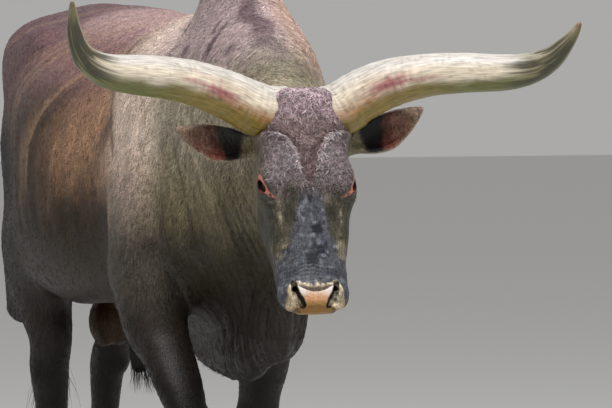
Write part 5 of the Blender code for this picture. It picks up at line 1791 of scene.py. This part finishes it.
def build_horn(side, label):
    """A horn along its curve, with rings of growth and a rounded tip."""
    rows = HORN_LEFT if side == LEFT else HORN_RIGHT
    upright = Matrix.Translation(POLL) @ Matrix.Rotation(HORN_YAW, 4, "Z")
    _, (out, up, ahead, thick) = eased([(float(k), *row) for k, row in enumerate(rows)], 200)
    spots = np.array([upright @ Vector((side * a, -c, b)) for a, b, c in zip(out, up, ahead)])
    along = np.concatenate([[0], np.cumsum(np.linalg.norm(np.diff(spots, axis=0), axis=1))])
    even = np.linspace(0, along[-1], HORN_ROWS)
    spots = np.stack([np.interp(even, along, spots[:, k]) for k in range(3)], 1)
    reach = np.interp(even, along, np.maximum(thick, 0.006)) / 2 - 0.0004
    left = even[-1] - even
    cap = np.clip(left / HORN_TIP, 0, 1)
    reach = np.minimum(reach, HORN_TIP * np.sqrt(cap * 2 - cap**2) + left * 0.6 + 0.0003)
    # The same points on a straight horn, to lay noise along
    turn = circle(HORN_SIDES)
    wide, deep = (np.tile(values, HORN_ROWS) * 0.05 for values in (np.cos(turn), np.sin(turn)))
    straight = np.stack([np.repeat(even, HORN_SIDES), wide, deep], 1)
    rings = noise(straight, (0.006, 0.3, 0.3), 51) + 0.6 * noise(straight, (0.013, 0.08, 0.08), 52)
    strength = np.repeat(fade(even, 0.40, 0.05) * 0.0009 + 0.0002, HORN_SIDES)
    bumps = strength * rings + 0.0005 * noise(straight, (0.08, 0.03, 0.03), 53)
    full = reach[:, None] + bumps.reshape(HORN_ROWS, HORN_SIDES) * fade(left, 0.0, 0.05)[:, None]
    points, ring = tube(spots, full, HORN_SIDES, np.array([0.0, -1.0, 0.0]))
    quads, ends = tube_faces(HORN_ROWS, HORN_SIDES)
    points = np.concatenate([points.reshape(-1, 3), spots[:1], spots[-1:]])
    place = np.concatenate([straight, straight[:1], straight[-1:]])
    out_way = np.concatenate([ring.reshape(-1, 3), ring[0, :1], ring[-1, :1]])
    piece = mesh_from(f"{label}_horn", points, [ends, quads])
    # Cream, pink and ochre near the base, painted shade tinted olive below, and dark streaks towards the
    # tip
    share = place[:, 0] / even[-1]
    up_way = out_way[:, 2]
    patch = noise(place, (0.05, 0.025, 0.025), 54)
    long = noise(place, (0.10, 0.007, 0.007), 55)
    rust = noise(place, (0.006, 0.012, 0.012), 56)
    pink = fade(np.abs(share - 0.33), 0.17, 0.05) * fade(np.abs(up_way + 0.10 + 0.3 * patch), 0.65, 0.2)
    ochre = fade(share, 0.34, 0.18) * fade(up_way + 0.3 * patch, 0.25, -0.35)
    # Painted shade, tinted olive, on the underside
    under = fade(up_way + 0.20 * patch, -0.10, -0.60)
    olive = mix(plain(place, 132, 112, 34), linear(96, 100, 30), fade(share, 0.3, 0.6))
    streak = fade(long + 0.5 * patch - 0.6 * out_way[:, 1] - 0.25 * up_way, 0.15, 0.6)
    scratch = fade(rust + 0.5 * long, 0.45, 0.95) * fade(share, 0.95, 0.80)
    colour = painted(
        plain(place, 226, 212, 190),
        (206, 200, 192, fade(up_way, 0.2, 0.7)),
        (168, 100, 104, pink * np.clip(0.35 + 0.5 * patch + 0.6 * long + 0.4 * rust, 0, 1)),
        (186, 120, 50, ochre * np.clip(0.55 + 0.5 * patch + 0.5 * rust, 0, 1)),
    )
    colour = painted(
        mix(colour, olive, under * 0.95),
        (128, 120, 88, fade(share, 0.66, 0.80) * 0.75),
        (40, 42, 26, fade(share, 0.62, 0.74) * fade(share, 1.0, 0.90) * streak * 0.85),
        (120, 92, 66, fade(share, 0.965, 0.995) * 0.8),
        (122, 92, 62, scratch * (0.30 + 0.35 * fade(share, 0.30, 0.05))),
    )
    paint(piece, "tone", colour)
    layer = piece.data.attributes.new("place", "FLOAT_VECTOR", "POINT")
    layer.data.foreach_set("vector", place.astype(np.float32).ravel())
    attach(moved(piece), "root")
    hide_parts(f"horn_{label}")
    return piece


HORN_LOOK = horn_material()
for side, label in SIDES:
    build_horn(side, label).data.materials.append(HORN_LOOK)


# Eyes


def build_eye(side, label):
    """An eyeball with a slight bulge in front, a brown iris and a wide pupil."""
    rows, sides = 60, 72
    polar = np.linspace(0.004, math.pi - 0.004, rows)
    radius = EYE_RADIUS - 0.0004
    bulge = 1 + 0.025 * fade(polar, 0.75, 0.05)
    turn = circle(sides)
    ring = np.sin(polar)[:, None] * radius * bulge[:, None]
    back = np.repeat((-np.cos(polar) * radius * bulge)[:, None], sides, 1)
    points = np.stack([np.cos(turn)[None] * ring, back, np.sin(turn)[None] * ring], -1).reshape(-1, 3)
    quads, ends = tube_faces(rows, sides)
    points = np.concatenate([points, [[0, -radius * 1.025, 0], [0, radius, 0]]])
    way = points / np.linalg.norm(points, axis=1, keepdims=True)
    rim = np.hypot(way[:, 0], way[:, 2])
    rim = np.where(way[:, 1] < 0, rim, 2 - rim)
    around = np.arctan2(way[:, 2], way[:, 0]) * 3
    streaks = noise(np.stack([around, rim, 0 * rim], 1), (0.12, 0.5, 1.0), 61)
    pupil = np.hypot(way[:, 0] / 0.36, way[:, 2] / 0.20)
    colour = painted(
        plain(points, 48, 32, 28),
        (34, 22, 17, fade(rim, 0.66, 0.58)),
        (58, 38, 24, fade(rim, 0.60, 0.45) * (0.5 + 0.5 * streaks)),
        (8, 7, 8, fade(pupil, 1.12, 0.92) * (way[:, 1] < 0)),
    )
    piece = mesh_from(f"{label}_eye", points, [ends[:, ::-1], quads[:, ::-1]])
    paint(piece, "tone", colour)
    piece.data.transform(eye_frame(side))
    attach(moved(piece), "root")
    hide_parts(f"eye_{label}")
    return piece


EYE_LOOK = toned_material("eye", 0.07, 0.3)
for side, label in SIDES:
    build_eye(side, label).data.materials.append(EYE_LOOK)


# Claws


def smooth_ring(outline, count):
    """Points along a closed smooth curve through an outline."""
    outline = np.array(outline, float)
    size = len(outline)
    place = np.arange(count) * size / count
    index = place.astype(int)
    t = (place - index)[:, None]
    p0, p1, p2, p3 = (outline[(index + k) % size] for k in (-1, 0, 1, 2))
    return 0.5 * (
        2 * p1 + (p2 - p0) * t + (2 * p0 - 5 * p1 + 4 * p2 - p3) * t**2 + (3 * p1 - p0 - 3 * p2 + p3) * t**3
    )


def build_claw(name, foot, side, coronet):
    """A claw, narrower upwards, with the fine rings of its growth."""
    at, normal = coronet
    sides = 60
    outline = smooth_ring(CLAW_OUTLINE, sides)
    # Levels from the sole up to the coronet, closer where the edge of the sole is rounded
    levels = np.concatenate([[0.0, 0.015, 0.04], np.linspace(0.08, 1.06, 26)])
    edges = np.concatenate([[0.955, 0.985, 0.998], np.ones(26)])
    rings = []
    for level, edge in zip(levels, edges):
        wide = edge * (1 + (CLAW_NARROWS - 1) * level)
        long = edge * (1 + (CLAW_SHORTENS - 1) * level - 0.02 * math.sin(math.pi * min(level, 1.0)))
        across = foot.x + side * (0.0034 + np.maximum(outline[:, 0], 0.0004) * wide)
        back = foot.y + outline[:, 1] * long + 0.004 * level
        top = at.z - (normal.x * (across - at.x) + normal.y * (back - at.y)) / normal.z
        rings.append(np.stack([across, back, level * top], 1))
    points = np.array(rings)
    away = points - points.mean(1, keepdims=True)
    away[..., 2] = 0
    away = unit(away)
    grow = fade(levels, 0.02, 0.15)
    wave = np.sin(levels * 46 + 1.3 * np.sin(levels * 17)) * 0.00035 * grow
    points = points + away * (wave[:, None, None] - 0.0003 * grow[:, None, None])
    quads, ends = tube_faces(len(levels), sides)
    if side < 0:
        quads, ends = quads[:, ::-1], ends[:, ::-1]
    flat = np.concatenate([points.reshape(-1, 3), points[[0, -1]].mean(1)])
    piece = mesh_from(f"{name}_shell", flat, [ends, quads])
    height = np.concatenate([np.repeat(levels, sides), [0.0, 1.0]])
    band = noise(np.stack([flat[:, 0], flat[:, 1], height * 0.05], 1), (0.05, 0.05, 0.004), 71)
    colour = painted(
        plain(flat, 60, 54, 50),
        (96, 84, 70, fade(band, 0.0, 0.8) * 0.7),
        (112, 100, 84, fade(height, 0.10, 0.0) * 0.7),
    )
    paint(piece, "tone", colour)
    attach(moved(piece), "root")
    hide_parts(name)
    return piece


def build_dewclaw(name, frame_of):
    """A small ringed horn shell behind the pastern."""
    work = bmesh.new()
    bmesh.ops.create_uvsphere(work, u_segments=28, v_segments=18, radius=1.0)
    mesh = bpy.data.meshes.new("dew")
    work.to_mesh(mesh)
    work.free()
    piece = in_scene(f"{name}_shell", mesh)
    points = points_of(piece) * (np.array(DEWCLAW) - 0.0004)
    points = points * (1 + 0.02 * np.sin(points[:, 2:3] * 900))
    set_points(piece, points)
    mesh.polygons.foreach_set("use_smooth", np.ones(len(mesh.polygons), bool))
    paint(piece, "tone", plain(points, 58, 52, 48))
    piece.data.transform(frame_of)
    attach(moved(piece), "root")
    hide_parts(name)
    return piece


CLAW_LOOK = toned_material("claw", 0.5)
for leg in LEG_LINES:
    coronet = coronet_of(leg)
    sole = Vector((coronet[0].x, coronet[0].y, 0.0))
    for side, label in ((1, "a"), (-1, "b")):
        claw = build_claw(f"{leg}_claw_{label}", sole, side, coronet)
        claw.data.materials.append(CLAW_LOOK)
        spot = leg_line(leg, DEWCLAW_HEIGHT) + Vector((side * DEWCLAW_SPOT[0], DEWCLAW_SPOT[1], 0.0))
        lay = Matrix.Translation(spot) @ Matrix.Rotation(math.radians(-35), 4, "X")
        build_dewclaw(f"{leg}_dewclaw_{label}", lay).data.materials.append(CLAW_LOOK)


# Long hair


def strands(name, roots, ways, lengths, thick, colour, rows):
    """Long tapered hairs of three sides, as one mesh."""
    count = len(roots)
    t = np.linspace(0, 1, rows)[None, :, None]
    curl = RNG.normal(0, 1, (count, 1, 3)) * np.array([1, 1, 0.2])
    line = roots[:, None] + (ways * lengths[:, None])[:, None] * t
    waves = np.sin(math.pi * t * RNG.uniform(0.8, 2.2, (count, 1, 1)))
    line = line + curl * lengths[:, None, None] * 0.05 * waves
    ahead = unit(np.gradient(line, axis=1))
    across = np.cross(ahead, RNG.normal(0, 1, (count, 1, 3)))
    across /= np.linalg.norm(across, axis=2, keepdims=True)
    deep = np.cross(ahead, across)
    slim = (1 - 0.85 * t**1.5) * np.minimum(1.0, 0.5 + 3 * t) * np.asarray(thick).reshape(-1, 1, 1) / 2
    corners = [
        line + (across * math.cos(a) + deep * math.sin(a)) * slim for a in (0.0, 2.094, 4.189)
    ]
    points = np.stack(corners, 2).reshape(-1, 3)
    ends = [(0, 2, 1), (3 * rows - 3, 3 * rows - 2, 3 * rows - 1)]
    stride = 3 * rows * np.arange(count)[:, None, None]
    groups = (ends, prism_quads(rows))
    faces = [(np.array(group)[None] + stride).reshape(-1, len(group[0])) for group in groups]
    piece = mesh_from(name, points, faces)
    shade = RNG.uniform(0.6, 1.5, (count, 1)) * colour[None]
    paint(piece, "tone", np.repeat(shade, 3 * rows, 0))
    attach(moved(piece), "root")
    piece.data.materials.append(HAIR_LOOK)
    return piece


def hanging(name, end, count, ring, rise, spread, back, length, thick, rows):
    """A bunch of long hair that hangs from a place, each pair of numbers a range to draw from."""
    count = int(count * TUFT_SHARE)
    turn = RNG.uniform(0, 2 * math.pi, count)
    out = np.stack([np.cos(turn), np.sin(turn), 0 * turn], 1)
    start = np.array(end) + out * RNG.uniform(*ring, (count, 1))
    start[:, 2] += RNG.uniform(*rise, count)
    ways = out * RNG.uniform(*spread, (count, 1)) + np.array([0, back, -1.0])
    lengths = np.clip(RNG.uniform(*length, count), 0, start[:, 2] - LOWEST_HAIR)
    return strands(name, start, ways, lengths, RNG.uniform(*thick, count), linear(30, 26, 26), rows)


HAIR_LOOK = toned_material("hair", 0.45)
LOWEST_HAIR = 0.345
switch = hanging(
    "tail_hair", TAIL_END, 420, ring=(0.004, 0.012), rise=(-0.14, 0.05), spread=(0.02, 0.14),
    back=0.02, length=(0.20, 0.34), thick=(0.0012, 0.0030), rows=9,
)
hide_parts("tail_switch")
wisp = hanging(
    "sheath_hair", SHEATH_END, 120, ring=(0.004, 0.020), rise=(0.0, 0.012), spread=(0.05, 0.30),
    back=-0.12, length=(0.045, 0.085), thick=(0.0008, 0.0016), rows=7,
)
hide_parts("sheath_tuft")

flesh = [
    name
    for name in frame["nodes"]
    if not any(word in name for word in ("horn", "claw", "eye", "switch", "tuft"))
]
for piece in (skin, *coats):
    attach(moved(piece), "root")
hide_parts(*flesh)


# Stage, light and camera

ground = bpy.data.meshes.new("floor")
ground.from_pydata([(-30, -30, 0), (30, -30, 0), (30, 30, 0), (-30, 30, 0)], [], [(0, 1, 2, 3)])
floor = in_scene("floor", ground)
paper = bpy.data.materials.new("paper")
paper.use_nodes = True
paper_looks = {"Base Color": (0.72, 0.72, 0.70, 1.0), "Roughness": 0.9}
feed(paper.node_tree, paper.node_tree.nodes["Principled BSDF"], paper_looks)
ground.materials.append(paper)

world = bpy.data.worlds.new("studio")
world.use_nodes = True
sky_looks = {"Color": (0.90, 0.89, 0.88, 1.0), "Strength": 0.45}
feed(world.node_tree, world.node_tree.nodes["Background"], sky_looks)
bpy.context.scene.world = world


def softbox(name, spot, target, size, power):
    """A square studio light aimed at a target."""
    light = bpy.data.lights.new(name, "AREA")
    light.size = size
    light.energy = power
    lamp = in_scene(name, light)
    lamp.location = spot
    lamp.rotation_euler = (Vector(target) - Vector(spot)).to_track_quat("-Z", "Y").to_euler()


softbox("key", (-0.6, -2.6, 6.4), (0.0, 0.0, 0.9), 3.6, 380)
softbox("fill", (5.0, -6.0, 3.0), (0.0, 0.0, 0.9), 4.0, 60)
bpy.context.scene.view_settings.view_transform = "Standard"

# The camera: its way across and away, its focus and horizon in pixels, and where it stands
PICTURE_WIDTH, PICTURE_HEIGHT = 612.0, 408.0
VIEW = math.radians(18.0)
ACROSS = Vector((math.cos(VIEW), -math.sin(VIEW), 0.0))
AWAY = Vector((math.sin(VIEW), math.cos(VIEW), 0.0))
FOCUS = 6490.0
DISTANCE = 15.5
HEIGHT = 1.56
HORIZON = -57.0
SIDEWAYS = 0.26
camera_data = bpy.data.cameras.new("camera")
camera_data.sensor_width = 36.0
camera_data.lens = FOCUS * 36.0 / PICTURE_WIDTH
camera_data.clip_end = 200.0
camera = in_scene("camera", camera_data)
camera.location = SHIFT + ACROSS * SIDEWAYS - AWAY * DISTANCE + Vector((0.0, 0.0, HEIGHT))
look = AWAY * FOCUS + Vector((0.0, 0.0, HORIZON - PICTURE_HEIGHT / 2))
camera.rotation_euler = look.to_track_quat("-Z", "Y").to_euler()
bpy.context.scene.camera = camera
